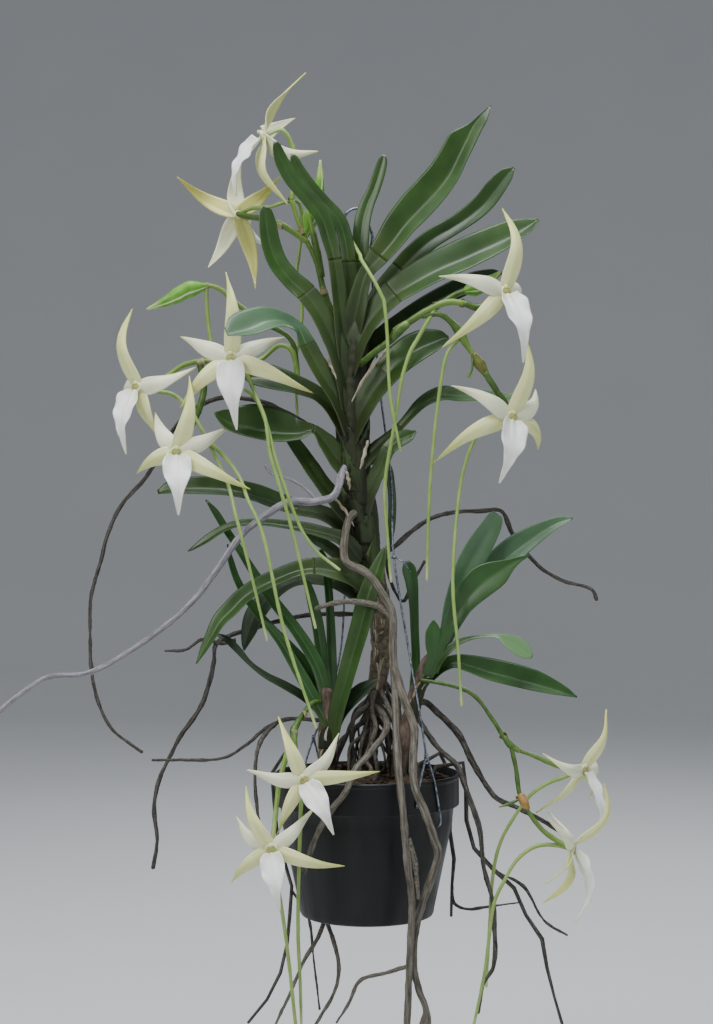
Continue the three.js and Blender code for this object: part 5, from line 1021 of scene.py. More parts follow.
def addTepal(bm, bloom, name, slim, turn, material):
    look, along = tepalLook, tepalLook["along"]
    kind = look[name.rstrip("AB")]
    width, twist = slim * kind["width"], random.uniform(-look["twist"], look["twist"])
    facing, reach = Vector(bloom["face"]).normalized(), Vector(bloom[name])
    base = Vector(bloom["at"]) - facing * kind["back"]
    middle = reach * 0.5 + facing * look["curl"] * reach.length + Vector((0, 0, kind["sag"] * reach.length))
    frames = bladeFrames([base, base + middle, base + reach], facing, facing, along)

    def place(t, w, side):
        centre, across, up = frames[round(t * along)]
        half = readShape(look["shape"], t) * width / 2
        across, up = rolled(across, up, turn * ease(0.0, 0.3, t) + twist * ease(0.35, 1.0, t))
        lift = -look["cup"] * half * w * w + look["ridge"] * bump(w, 0.2) * (1 - t)
        lift -= look["pleat"] * math.cos(9.4 * w) * (1 - t)
        lift += look["ripple"] * math.sin(9 * t + 5 * twist + 2 * w) * abs(w)
        sway = look["hook"] * reach.length * math.sin(math.pi * t) * twist
        thick = look["edge"] + look["flesh"] * (1 - w * w) * (1 - 0.3 * t)
        if side < 0:
            thick += look["keel"] * bump(w, 0.16) * (1 - t)
        return centre + across * (w * half + sway) + up * (lift + side * thick)

    addSheet(bm, along, look["across"], place, material)


def addLip(bm, bloom, slim, turn, material):
    look, along = lipLook, lipLook["along"]
    width, phase = slim * look["width"], bloom["at"][0]
    facing, reach = Vector(bloom["face"]).normalized(), Vector(bloom["lip"])
    base = Vector(bloom["at"]) + facing * look["out"] + reach.normalized() * look["down"]
    run = reach - reach.normalized() * look["down"] - facing * look["out"]
    middle = run * 0.5 + facing * look["curl"] * reach.length
    frames = bladeFrames([base, base + middle, base + run], facing, facing, along)

    def place(t, w, side):
        centre, across, up = frames[round(t * along)]
        half = readShape(look["shape"], t) * width / 2
        across, up = rolled(across, up, turn)
        lift = (0.5 - 0.35 * ease(0.05, 0.4, t) + 0.25 * ease(0.7, 1.0, t)) * half * w * w
        lift += look["ruffle"] * math.sin(24 * t + phase + 2.5 * w) * abs(w) ** 3 * (1 - ease(0.5, 0.9, t))
        lift += look["callus"] * bump(w, 0.13) * (1 - ease(0.02, 0.4, t))
        lift -= look["groove"] * bump(abs(w) - 0.3, 0.13) * (1 - ease(0.1, 0.5, t))
        thick = look["edge"] + look["flesh"] * (1 - w * w)
        return centre + across * (w * half) + up * (lift + side * thick)

    addSheet(bm, along, look["across"], place, material)


columnLook = {
    "steps": 24, "profile": [
        (0, -4), (3.4, -4), (5.2, -1.5), (6.2, 0.2), (6.4, 1.0), (5.9, 1.7), (5.0, 2.1), (4.3, 2.2), (3.5, 2.3),
        (2.7, 2.6), (1.8, 3.0), (0.9, 3.2), (0, 3.3)],
    "olivePatch": 5.2, "dip": 0.3, "lean": 0.05,
    "capRadius": 2.5, "capSize": (0.8, 1.0, 0.7), "capSpot": (-5.0, 0, 2.4),
}


def addColumn(bm, bloom, material, patchMaterial):
    # A low pale boss over the throat with an olive patch in its middle, and the column's small blunt cap
    look, facing, lip = columnLook, Vector(bloom["face"]).normalized(), Vector(bloom["lip"])
    lipward = lip - facing * lip.dot(facing)
    lipward.normalize()
    turned = Matrix((lipward, facing.cross(lipward), facing)).transposed().to_4x4()
    part = newSheetMesh()
    addSpun(part, look["profile"], look["steps"], Matrix(), materialOf=lambda spot: (
        patchMaterial if math.hypot(spot.x, spot.y) < look["olivePatch"] and spot.z > 0 else material))
    # the side by the lip dips
    for vert in part.verts:
        if vert.co.z > 0:
            vert.co.z -= look["dip"] * vert.co.x * min(vert.co.z / 6.0, 1.0)
            vert.co.x += look["lean"] * vert.co.z
    cap = bmesh.ops.create_uvsphere(part, u_segments=12, v_segments=8, radius=look["capRadius"])["verts"]
    bmesh.ops.scale(part, vec=look["capSize"], verts=cap)
    bmesh.ops.translate(part, vec=look["capSpot"], verts=cap)
    for face in facesOf(cap):
        face.material_index = material
    bmesh.ops.transform(part, matrix=Matrix.Translation(Vector(bloom["at"])) @ turned, verts=part.verts)
    appendMesh(bm, part)


def makeBloom(node, bloom, seed):
    bm = newSheetMesh()
    random.seed(seed)
    slim, turn = bloomSlims.get(node, 1.0), bloomTurns.get(node, 0.0)
    for name in ("dorsal", "sepalA", "sepalB", "petalA", "petalB"):
        addTepal(bm, bloom, name, slim, turn, 1 if name.startswith("petal") else 0)
    addLip(bm, bloom, slim, turn, 2)
    addColumn(bm, bloom, 3, 4)
    sepal = sepalOlive if node == "bloom_02" else sepalCream
    return finishPiece(pieceName(node), bm, [sepal, petalWhite, lipWhite, columnGreen, throatOlive], "bloom", node)


for seed, (node, bloom) in enumerate(blooms.items(), 100):
    makeBloom(node, bloom, seed)
print("blooms made:", len(blooms))


# Flower sprays: stalks, pedicels, buds, knobs, papery bracts and the long nectar spurs

def behind(node, distance=4.0):
    bloom = blooms[node]
    return Vector(bloom["at"]) - Vector(bloom["face"]).normalized() * distance


stalkRadius = 3
ovary = [2.6, 2.6, 2.34]
spurTaper = [2.25, 1.8, 1.8, 1.35]
bud = [2.4, 8.8, 8.2, 4.8, 1.1]

# each limb: its skin, its radii and its points, and a spur in tight bends its own step
sprays = {
    "spray_left_top": [
        ("stalk", [stalkRadius, 3.4, 3, 2.6], [[-6, -12, -158], [-20, 6, -112], [-33, 10, -81], [-41, 12, -49],
            [-55, 14, -20], [-66, 14, 12]]),
        ("pedicel", ovary, [[-66, 14, 12], [-62, 16, 40], [-66, 14, 68], [-76, 10, 82], behind("bloom_01")]),
        ("stalk", 3.2, [behind("bloom_02"), [-112, 30, -2], [-96, 18, -6], [-78, 12, -12], [-50, 13, -30]]),
        ("spur", spurTaper, [behind("bloom_02"), [-106, 28, 6], [-87, 18, 6], [-72, 20, 11], [-60, 24, 12],
            [-56, 26, 0], [-58, 24, -36], [-61, 24, -63], [-56, 22, -90], [-57, 22, -120], [-62, 20, -150],
            [-60, 18, -210]]),
        ("spur", spurTaper, [behind("bloom_01"), [-74, 10, 62], [-58, 2, 44], [-38, -4, 16], [-22, -10, -8],
            [-9, -12, -26], [-1, -14, -40], [3, -24, -48], [3, -38, -53], [7, -50, -60], [14, -60, -74],
            [25, -62, -93], [29, -64, -127], [32, -66, -190], [42, -66, -242]], 18),
        ("bud", bud, [[-52, 14, -26], [-44, 16, 4], [-38, 16, 30], [-37, 16, 52]]),
        ("stalk", [2, 3.6, 3.4, 1], [[-34, 10, -66], [-40, 6, -40], [-45, 6, -18], [-50, 6, 0]]),
    ],
    "spray_left_middle": [
        ("stalk", [stalkRadius, 3, 2.8], [[-14, -14, -200], [-40, -14, -178], [-80, -12, -164], [-120, -12, -160],
            [-150, -12, -152], [-172, -12, -156], [-190, -12, -168]]),
        ("pedicel", ovary, [[-190, -12, -168], [-202, -12, -174], behind("bloom_03")]),
        ("stalk", 3.6, [[-156, -12, -154], [-152, -14, -180], [-160, -18, -208], [-170, -28, -226],
            behind("bloom_05")]),
        ("pedicel", ovary, [[-58, -13, -170], [-66, -8, -140], [-78, -4, -136], [-96, -6, -150], [-112, -22, -152],
            behind("bloom_04")]),
        ("stalk", 2.4, [[-58, -13, -170], [-66, -4, -130], [-96, -4, -112], [-120, -4, -94], [-138, -6, -79],
            [-150, -8, -76]]),
        ("bud", bud, [[-148, -8, -76], [-156, -8, -78], [-167, -8, -80], [-186, -8, -90], [-209, -8, -100]]),
        ("spur", spurTaper, [[-150, -8, -77], [-150, -2, -96], [-146, -2, -130], [-132, -12, -170], [-104, -30, -186],
            [-88, -56, -216], [-80, -66, -246], [-69, -68, -280], [-53, -68, -320], [-39, -66, -340],
            [-17, -64, -358]]),
        ("spur", spurTaper, [behind("bloom_04"), [-116, -30, -154], [-106, -36, -172], [-98, -52, -190],
            [-89, -62, -212], [-84, -68, -246], [-74, -70, -280], [-62, -70, -322], [-40, -68, -414]]),
        ("spur", spurTaper, [behind("bloom_03"), [-202, -14, -182], [-184, -16, -185], [-166, -22, -200],
            [-158, -26, -212], [-142, -32, -242], [-126, -42, -276], [-118, -60, -304], [-108, -65, -340],
            [-87, -64, -426]]),
        ("spur", spurTaper, [behind("bloom_05"), [-168, -34, -238], [-150, -34, -232], [-130, -34, -248],
            [-115, -42, -268], [-106, -58, -290], [-92, -70, -320], [-70, -82, -415], [-39, -92, -508]]),
    ],
    "spray_right_top": [
        ("stalk", [3, 3.4, 3.2], [[2, -28, -158], [12, -48, -150], [34, -57, -134], [46, -58, -121], [77, -58, -102],
            [90, -57, -98], [103, -56, -99]]),
        ("stalk", [3.6, 5.5, 4], [[33, -57, -135], [41, -58, -125], [49, -58, -119]]),
        ("stalk", [3, 4.4, 3.4], [[103, -56, -99], [118, -54, -103], [134, -54, -98], behind("bloom_06")]),
        ("stalk", [2.4, 2.6, 3], [[77, -58, -102], [96, -50, -90], [112, -44, -84]]),
        ("bud", bud, [[104, -48, -87], [116, -42, -82], [128, -38, -76], [140, -34, -66]]),
        ("stalk", [2.6, 2.6, 3, 5, 3.4, 2], [[63, -58, -112], [80, -58, -110], [96, -56, -122], [106, -56, -138],
            [115, -56, -152]]),
        ("pod", [3, 6, 3.4], [[113, -56, -148], [120, -56, -159], [126, -56, -169]]),
        ("stalk", 3.2, [[124, -58, -166], [138, -50, -187], [146, -44, -197], behind("bloom_07")]),
        ("stalk", [1.2, 1, 1.4], [[112, -56, -150], [112, -60, -162], [108, -60, -171]]),
        ("spur", spurTaper, [[75, -58, -105], [60, -59, -132], [52, -60, -146], [44, -61, -171], [36, -58, -219],
            [27, -53, -278], [30, -52, -330], [33, -52, -370]]),
        ("spur", spurTaper, [behind("bloom_06"), [134, -44, -102], [112, -44, -122], [96, -48, -137], [88, -52, -147],
            [80, -54, -187], [71, -52, -278], [68, -50, -368]]),
        ("spur", spurTaper, [behind("bloom_07"), [142, -38, -218], [128, -36, -214], [120, -36, -222],
            [107, -38, -252], [101, -42, -278], [93, -58, -370], [98, -66, -438], [101, -66, -489]]),
    ],
    "spray_left_low": [
        ("stalk", 2.6, [[-36, -40, -488], [-44, -58, -488], [-52, -78, -497], [-59, -96, -508], [-58, -108, -528],
            behind("bloom_08")]),
        ("stalk", [2.7, 4.1, 2.8], [[-56, -88, -503], [-60, -96, -509], [-60, -103, -519]]),
        ("pedicel", ovary, [[-60, -97, -511], [-68, -98, -536], [-74, -104, -562], [-77, -112, -588],
            [-79, -119, -606], behind("bloom_09")]),
        ("spur", spurTaper, [behind("bloom_08"), [-53, -108, -582], [-55, -104, -640], [-56, -102, -700],
            [-54, -98, -750], [-53, -96, -790]]),
        ("spur", spurTaper, [behind("bloom_09"), [-77, -114, -640], [-68, -108, -700], [-60, -106, -770],
            [-54, -104, -840], [-55, -104, -890]]),
    ],
    "spray_right_low": [
        ("stalk", [2, 2, 2, 3], [[62, -34, -467], [92, -38, -472], [109, -40, -478], [119, -41, -486],
            [134, -44, -507], [150, -46, -530], [174, -42, -541], [196, -34, -551], behind("bloom_10")]),
        ("stalk", [2.4, 3.6, 2.6], [[143, -45, -521], [150, -46, -530], [158, -46, -535]]),
        ("stalk", [2, 2.2, 2.8], [[150, -46, -530], [155, -50, -552], [158, -54, -575], [163, -58, -587],
            [171, -60, -600], [183, -61, -613], behind("bloom_11")]),
        ("knob", [3.2, 4.9, 3.2], [[159, -55, -576], [162, -57, -583], [165.5, -58, -590]]),
        ("stalk", [0.9, 1.8, 0.9], [[160, -56, -580], [149, -58, -585], [138, -60, -588]]),
        ("spur", spurTaper, [behind("bloom_10"), [203, -32, -563], [186, -36, -569], [170, -38, -580],
            [155, -38, -600], [141, -36, -626], [134, -36, -655], [130, -36, -712], [127, -36, -768]]),
        ("spur", spurTaper, [behind("bloom_11"), [192, -60, -625], [174, -61, -626], [156, -62, -638],
            [142, -64, -660], [133, -64, -680], [124, -64, -745], [112, -62, -805]]),
    ],
}
# Bracts clasp a stalk at a node: where, the way they point, length, and the stalk's radius there
bracts = {
    "spray_left_top": [((-33, 10, -81), (-6, 1, 30), 12, 3.6), ((-55, 14, -20), (-10, 1, 26), 13, 3.4),
        ((-66, 14, 12), (2, 1, 20), 10, 3.2), ((-76, 12, -14), (-12, 4, 4), 9, 3.2)],
    "spray_left_middle": [((-58, -13, -170), (-20, 0, 6), 12, 3.4), ((-96, -12, -162), (-20, 0, 3), 10, 3.2),
        ((-154, -12, -153), (-14, 0, -4), 11, 3.2), ((-150, -7, -77), (-10, 0, 0), 9, 3.0)],
    "spray_right_top": [((40, -58, -126), (12, -1, 10), 12, 4.4), ((77, -58, -102), (14, 1, 2), 11, 3.6),
        ((103, -56, -99), (12, 2, -3), 10, 3.8), ((118, -56, -156), (6, 0, -10), 9, 4.2)],
    "spray_left_low": [((-52, -78, -497), (-6, -12, -6), 10, 3.0), ((-60, -98, -512), (-3, -4, -14), 10, 3.2)],
    "spray_right_low": [((143, -45, -521), (10, -2, -12), 11, 3.4), ((159, -56, -580), (4, -2, -12), 12, 4.0)],
}
bractLook = {"along": 8, "across": 8, "clear": 0.4, "flare": 1.0, "wall": 0.2, "wide": 2.2, "narrowing": 1.3,
             "sunk": 0.35, "stretch": 0.72}


def addBract(bm, spot, way, length, radius, material):
    look = bractLook
    axis = Matrix.Translation(Vector(spot)) @ Vector(way).to_track_quat("Z", "Y").to_matrix().to_4x4()

    def place(t, w, side):
        turn = w * (look["wide"] - look["narrowing"] * t) * math.sqrt(max(1 - t, 0.02))
        r = radius + look["clear"] + look["flare"] * t * t + side * look["wall"]
        return axis @ Vector((math.cos(turn) * r, math.sin(turn) * r, (t - look["sunk"]) * length * look["stretch"]))

    addSheet(bm, look["along"], look["across"], place, material)


skins = {"stalk": stalkGreen, "pedicel": pedicelGreen, "spur": spurGreen, "bud": budGreen, "pod": podOlive,
         "knob": knobYellow}


def makeSpray(node, limbs):
    bm = newSheetMesh()
    for material, skin in enumerate(skins):
        group = [limb for kind, *limb in limbs if kind == skin]
        seamed = skin in ("bud", "pedicel", "pod")
        if group:
            addTubes(bm, group, material, rings=5 if seamed else 2, step=2.2 if seamed else 3.5,
                     lumps=0.25 if skin == "spur" else 0.5, flutes=3 if seamed else 0,
                     fluteDepth=0.3 if skin == "pedicel" else 0.9)
    for bract in bracts[node]:
        addBract(bm, *bract, len(skins))
    return finishPiece(pieceName(node), bm, [*skins.values(), bractTan], "spray", node)


for node, limbs in sprays.items():
    makeSpray(node, limbs)
print("sprays made:", len(sprays))

# Aerial roots

thick = [4.2, 4, 4, 3.6, 3.2]
medium = [3.4, 3.2, 3, 2.6, 2]
fine = [2.2, 2, 1.8, 1.4]

# slim: how much thinner the dressed root is than the solid round it
roots = {
    "root_left_grey": {"skin": rootSilver, "limbs": [
        ([3.9, 3.7, 3.3, 2.9, 2.6, 2.5, 2.2], [[-10, -24, -255], [-16, -38, -268], [-18, -43, -278], [-24, -45, -287],
            [-41, -46, -292], [-66, -46, -292], [-90, -48, -306], [-113, -50, -325], [-135, -50, -356],
            [-161, -50, -390], [-189, -50, -415], [-222, -50, -438], [-262, -50, -459], [-301, -50, -463],
            [-329, -50, -480], [-356, -50, -502]]),
        ([1.6, 1.4, 1.2, 1.8], [[-38, -46, -292], [-52, -44, -278], [-66, -42, -270], [-84, -42, -264],
            [-90, -44, -256]]),
    ]},
    "root_left_arc": {"skin": rootDark, "slim": 0.85, "limbs": [
        ([3, 2.8, 2.6, 2.4, 2.2, 2], [[-14, -6, -246], [-33, 0, -228], [-46, 2, -217], [-88, 6, -194],
            [-112, 10, -188], [-142, 12, -188], [-178, 12, -211], [-212, 10, -267], [-236, 8, -294], [-250, 4, -325],
            [-257, 2, -353], [-266, 0, -387], [-267, 0, -426], [-266, 0, -454], [-260, 0, -488], [-245, 0, -519],
            [-215, 0, -542]]),
    ]},
    "root_left_hanging": {"skin": rootDark, "slim": 0.95, "limbs": [
        ([2.6, 2.6, 2.4, 2.6, 2.2, 2], [[20, -1, -406], [2, 11, -405], [-50, 14, -406], [-100, 16, -418],
            [-141, 12, -434], [-144, 8, -454], [-155, 6, -494], [-177, 6, -527], [-189, 6, -550], [-197, 4, -567],
            [-203, 2, -595], [-200, 0, -631], [-204, 0, -658]]),
        (fine, [[-122, 13.5, -431], [-136, 11, -434], [-155, 8, -430], [-172, 4, -440], [-192, 2, -441]]),
    ]},
    "root_left_low": {"skin": rootDark, "limbs": [
        ([2.2, 1.9, 1.6, 1.4], [[-31, -30, -508], [-46, -24, -507], [-68, -20, -507], [-90, -20, -516],
            [-110, -18, -533], [-133, -16, -546], [-177, -16, -548], [-203, -16, -548]]),
        (fine, [[-80, -20, -511], [-92, -46, -522], [-97, -66, -536], [-98, -76, -567], [-92, -82, -614]]),
    ]},
    "root_centre": {"skin": rootBark, "limbs": [
        ([4.1, 4.0, 3.8, 3.6, 3.4], [[4, -19, -300], [-6, -29, -306], [-11, -38, -322], [-11, -46, -350],
            [10, -56, -362], [25, -58, -382], [34, -60, -400], [35, -60, -444], [37, -66, -476], [38, -82, -520],
            [40, -97, -550], [43, -103, -580], [48, -104, -636], [52, -100, -669], [50, -96, -730], [47, -92, -814]]),
        (thick, [[35, -60, -450], [46, -72, -484], [55, -84, -511], [53, -96, -540], [55, -104, -563],
            [64, -105, -586], [73, -102, -611], [77, -98, -627], [73, -94, -644], [62, -90, -677], [56, -88, -702],
            [54, -86, -730], [58, -86, -755], [66, -86, -779], [69, -86, -812]]),
        (fine, [[66, -86, -779], [60, -86, -798], [56, -86, -814]]),
        (medium, [[48, -103, -612], [54, -102, -632], [58, -99, -669]]),
        (medium, [[34, -60, -404], [21, -56, -394], [-6, -56, -389], [-24, -56, -391], [-40, -56, -396]]),
        (fine, [[50, -96, -734], [29, -80, -744], [2, -70, -755], [-7, -68, -775], [-20, -66, -796]]),
    ]},
    "root_front": {"skin": rootBark, "slim": 0.8, "limbs": [
        (thick, [[17, -6, -494], [26, -22, -502], [29, -40, -514], [12, -66, -536], [-2, -92, -548], [-10, -103, -566],
            [-30, -101, -593], [-41, -98, -616], [-51, -94, -646]]),
    ]},
    "root_right_arc": {"skin": rootDark, "slim": 0.85, "limbs": [
        ([3, 2.8, 2.6, 2.6, 2.4, 2.2], [[12, -4, -350], [37, 4, -337], [54, 6, -322], [75, 6, -308], [99, 6, -302],
            [121, 8, -301], [145, 10, -301], [152, 12, -313], [156, 14, -323], [165, 14, -336], [173, 14, -346],
            [187, 12, -360], [207, 8, -371], [236, 4, -380], [240, 4, -390]]),
        (fine, [[28, 0, -341], [34, 10, -372], [46, 14, -392], [58, 16, -370], [68, 16, -352]]),
    ]},
    "root_right_low": {"skin": rootDark, "slim": 0.85, "limbs": [
        ([4, 4, 3.6, 3, 2.4], [[54, -20, -496], [66, -16, -490], [82, -16, -503], [99, -18, -520], [119, -20, -558],
            [137, -22, -584], [157, -20, -594], [183, -22, -607], [201, -22, -618]]),
        (medium, [[54, -20, -496], [66, -26, -515], [82, -38, -536], [97, -46, -549], [109, -50, -580],
            [119, -50, -609], [124, -50, -650], [132, -50, -681], [134, -50, -707], [133, -50, -745], [123, -50, -763],
            [118, -50, -790]]),
    ]},
    "root_rim_right": {"skin": rootDark, "slim": 0.75, "limbs": [
        (medium, [[66, -2, -582], [74, -2, -562], [90, -2, -550], [108, -2, -554], [109, -2, -580], [109, -2, -606],
            [113, -2, -628], [127, -2, -653], [152, -2, -668], [163, -2, -696], [183, -2, -724], [191, -2, -763],
            [205, -2, -814]], 30),
        (fine, [[140, -2, -662], [166, 2, -676], [188, 6, -712], [211, 8, -727]]),
    ]},
    "root_rim_back": {"skin": rootDark, "slim": 0.75, "limbs": [
        (medium, [[52, 34, -584], [62, 42, -562], [80, 56, -550], [94, 65, -556], [96, 58, -585], [96, 54, -610],
            [95, 46, -639], [99, 42, -655], [97, 40, -676], [96, 40, -714]], 30),
        (fine, [[97, 40, -680], [99, 36, -700], [111, 30, -705], [137, 26, -701], [163, 22, -697]]),
    ]},
    "root_rim_left": {"skin": rootDark, "slim": 0.65, "limbs": [
        (medium, [[-38, 24, -584], [-50, 31, -562], [-69, 43, -550], [-85, 54, -556], [-86, 55, -590], [-80, 50, -640],
            [-66, 46, -690], [-70, 34, -723], [-73, 24, -755], [-89, 12, -790], [-109, 2, -813]], 30),
        (fine, [[-66, 46, -690], [-50, 40, -715], [-44, 34, -757], [-38, 28, -806]]),
    ]},
    "root_drain": {"skin": rootBark, "slim": 0.7, "limbs": [
        (medium, [[-31, 13.3, -686], [-31, 13.3, -702], [-33, 12, -714], [-40, 4, -730], [-52, -4, -748],
            [-66, -8, -780], [-82, -10, -814]]),
        (medium, [[-31, 13.3, -700], [-30, 10, -714], [-24, 2, -730], [-18, -4, -757], [-22, -6, -779],
            [-42, -8, -814]]),
    ]},
}


def makeRoot(node, root):
    bm = newSheetMesh()
    skin, slim = root["skin"], root.get("slim", 1.0)
    limbs = [([radius * slim for radius in radii], *rest) for radii, *rest in root["limbs"]]
    addTubes(bm, limbs, rings=3, step=3.0, lumps=0.55 if skin is rootSilver else 0.8, lumpSize=11.0)
    return finishPiece(pieceName(node), bm, [skin], "root_dark" if skin is rootDark else "root_grey", node)


for node, root in roots.items():
    makeRoot(node, root)

# Old thin roots: they leave the foot of the stem all round, run down and out and go into the bark
tangleLook = {"count": 30, "low": -582.0, "high": -470.0, "clear": 55, "radius": 1.8, "splay": 58.0, "spans": 5,
              "bulge": 9, "wander": 7}


def makeTangle():
    look = tangleLook
    bm = newSheetMesh()
    random.seed(23)
    pale, dark = [], []
    for i in range(look["count"]):
        out = compass(random.uniform(0, math.tau))
        z = random.uniform(look["low"] + look["clear"], look["high"])
        start = stemSpot(z) + out * (stemGirth(z) - 1)
        end = stemSpot(z) + out * (random.uniform(0.25, 1.0) * look["splay"]) + Vector((0, 0, look["low"] - z))
        points = [start]
        for k in range(look["spans"]):
            t = (k + 1) / look["spans"]
            spot = start.lerp(end, t) + out * (look["bulge"] * math.sin(math.pi * t ** 0.6))
            stray = Vector([random.uniform(-look["wander"], look["wander"]) for _ in range(3)])
            points.append(spot + stray * (1 - t * t))
        size = look["radius"] * random.uniform(0.5, 1.25)
        (pale if i % 2 else dark).append(([size * 1.2, size, size * 0.9], points))
    for material, limbs in enumerate((pale, dark)):
        addTubes(bm, limbs, material, step=3.0, lumps=0.5)
    return finishPiece("rootTangle", bm, [rootBark, rootDark], "root_grey")


makeTangle()
print("roots made:", len(roots) + 1)

# Pot and bark

potLook = {
    "across": 10.0, "rimTop": -562.0, "height": 142.0, "rimRadius": 92.0, "baseRadius": 67.0, "band": 32.0,
    "proud": 5.0, "wall": 1.8, "steps": 112, "drainRadius": 8.0, "drainRing": 43.0, "drains": 5, "drainTurn": 0.25,
    "sharpAbove": 38,
}


def makePot():
    look = potLook
    lip, top, band = look["rimRadius"], look["rimTop"], look["rimTop"] - look["band"]
    foot, floorZ = look["baseRadius"], look["rimTop"] - look["height"]
    under = lip - look["proud"]
    profile = [
        (0, floorZ + 5), (foot - 15, floorZ + 5), (foot - 13, floorZ + 4.2), (foot - 11.5, floorZ + 0.6),
        (foot - 10.5, floorZ), (foot - 4, floorZ), (foot - 1.4, floorZ + 1.2), (foot - 0.2, floorZ + 3.6),
        (foot + 0.2, floorZ + 7), (under - 1.6, band - 16), (under - 1.6, band - 13), (under - 0.3, band - 1.2),
        (under + 0.4, band + 0.2), (lip - 0.8, band + 0.6), (lip - 0.1, band + 1.3), (lip, band + 2.6),
        (lip - 0.2, top - 6), (lip - 0.2, top - 5), (lip + 0.3, top - 4), (lip + 0.3, top - 1.6),
        (lip - 0.1, top - 0.6), (lip - 0.9, top), (lip - 1.9, top - 0.1), (lip - 2.5, top - 0.9),
        (under - 0.9, band + 3), (under - look["wall"], band - 1.5), (foot - look["wall"], floorZ + 10),
        (foot - 3.4, floorZ + 7.6), (foot - 7, floorZ + 7), (0, floorZ + 7),
    ]
    bm = newSheetMesh()
    addSpun(bm, profile, look["steps"], Matrix.Translation((look["across"], 0, 0)))
    pot = finishPiece("pot", bm, [potPlastic], "pot_plastic", "pot")
    # the drain holes are cut through the floor
    drills = newSheetMesh()
    for i in range(look["drains"]):
        turn = (i + look["drainTurn"]) / look["drains"] * math.tau
        spot = (look["across"] + look["drainRing"] * math.cos(turn), look["drainRing"] * math.sin(turn), floorZ + 5)
        bmesh.ops.create_cone(drills, cap_ends=True, segments=28, radius1=look["drainRadius"],
                              radius2=look["drainRadius"], depth=24, matrix=Matrix.Translation(spot))
    bmesh.ops.scale(drills, vec=(mm, mm, mm), verts=drills.verts)
    drillMesh = bpy.data.meshes.new("drills")
    drills.to_mesh(drillMesh)
    drills.free()
    drill = bpy.data.objects.new("drills", drillMesh)
    bpy.context.collection.objects.link(drill)
    cut = pot.modifiers.new("drainHoles", "BOOLEAN")
    cut.operation, cut.object, cut.solver = "DIFFERENCE", drill, "EXACT"
    holed = bpy.data.meshes.new_from_object(pot.evaluated_get(bpy.context.evaluated_depsgraph_get()))
    pot.modifiers.clear()
    pot.data = holed
    bpy.data.objects.remove(drill)
    for poly in holed.polygons:
        poly.use_smooth = True
    holed.set_sharp_from_angle(angle=math.radians(look["sharpAbove"]))
    return pot


makePot()

# chunks of bark lie on a low mound, in a spiral that fills the pot evenly
barkLook = {"chunks": 190, "spread": 82.0, "size": (20.0, 13.0, 7.0), "hump": 16.0, "below": 12.0, "spiral": 2.39996,
            "steps": 48, "humpRadius": 84, "rough": 0.09, "bevel": 0.8, "turn": 1.2, "tilt": 0.45}


def makeBark():
    look, pot = barkLook, potLook
    top = pot["rimTop"] - look["below"]
    floorZ = pot["rimTop"] - pot["height"] + 7.4
    under = pot["rimRadius"] - pot["proud"] - pot["wall"] - 1.6
    bm = newSheetMesh()
    # the fill under the chunks, with a low mound in its middle
    addSpun(bm, [(0, floorZ), (pot["baseRadius"] - 8, floorZ), (pot["baseRadius"] - 4, floorZ + 4),
                 (under - 1, pot["rimTop"] - pot["band"] - 3), (under - 1, top - 5), (70, top - 1),
                 (50, top + 4), (24, top + look["hump"] * 0.6), (0, top + look["hump"] - 3)], look["steps"],
            Matrix.Translation((pot["across"], 0, 0)))
    random.seed(5)

    def draw(limit):
        return random.uniform(-limit, limit)

    for i in range(look["chunks"]):
        ring = look["spread"] * math.sqrt((i + 0.5) / look["chunks"])
        turn = i * look["spiral"]
        size = [s * random.uniform(0.6, 1.25) for s in look["size"]]
        if ring + size[0] * 0.45 > under:
            size[0] = max((under - ring) * 2.0, 8.0)
            ring = min(ring, under - 5.5)
        height = top + look["hump"] * (1 - ring / look["humpRadius"]) + random.uniform(-4, 3)
        chunk = bmesh.new()
        bmesh.ops.create_cube(chunk, size=1.0)
        bmesh.ops.scale(chunk, vec=size, verts=chunk.verts)
        bmesh.ops.subdivide_edges(chunk, edges=chunk.edges, cuts=2, use_grid_fill=True)
        for vert in chunk.verts:
            vert.co += Vector([draw(look["rough"]) * s for s in size])
        bmesh.ops.bevel(chunk, geom=[e for e in chunk.edges if e.calc_face_angle(0) > 1.0], affect="EDGES",
                        offset=look["bevel"], segments=1, profile=0.5, material=-1)
        turned = Matrix.Rotation(turn + draw(look["turn"]), 4, "Z")
        for axis in ("X", "Y"):
            turned = turned @ Matrix.Rotation(draw(look["tilt"]), 4, axis)
        spot = (pot["across"] + ring * math.cos(turn), ring * math.sin(turn), height)
        bmesh.ops.transform(chunk, matrix=Matrix.Translation(spot) @ turned, verts=chunk.verts)
        appendMesh(bm, chunk)
    return finishPiece("barkMedium", bm, [firBark], "bark", "bark_medium", flat=True)


makeBark()
print("pot and bark made")

# Hanger: a bent hook, a close twist at its shank and two wires whose clips fork over the rim

hangerLook = {
    "radius": 1.1, "hookRadius": 12.5, "hookWire": 1.45, "hookTop": 1.5, "curlFrom": 1.12, "curlTo": -0.1,
    "curlSteps": 13, "shank": -58.0, "shankAcross": 13,
    "coilFrom": 0.9, "coilTo": 21.1, "coilSteps": 119, "coilTurns": 6.5, "coilRadius": 2.15, "coilWire": 0.8,
    # the clip forks at its crown; each leg's height over the rim, its swing round the rim and how far inward
    "crownRise": 26.0, "longLeg": [(4, 0.1, 0), (-20, 0.17, 0), (-42, 0.21, 0), (-45, 0.21, 3)],
    "shortLeg": [(6, -0.06, 0), (-8, -0.1, 0), (-24, -0.12, 0)],
    "bindFrom": -6, "bindHeight": 8, "bindRadius": 1.7, "bindTurns": 3.4, "bindSteps": 60, "bindWire": 0.75,
}
shankZ = hangerLook["shank"]
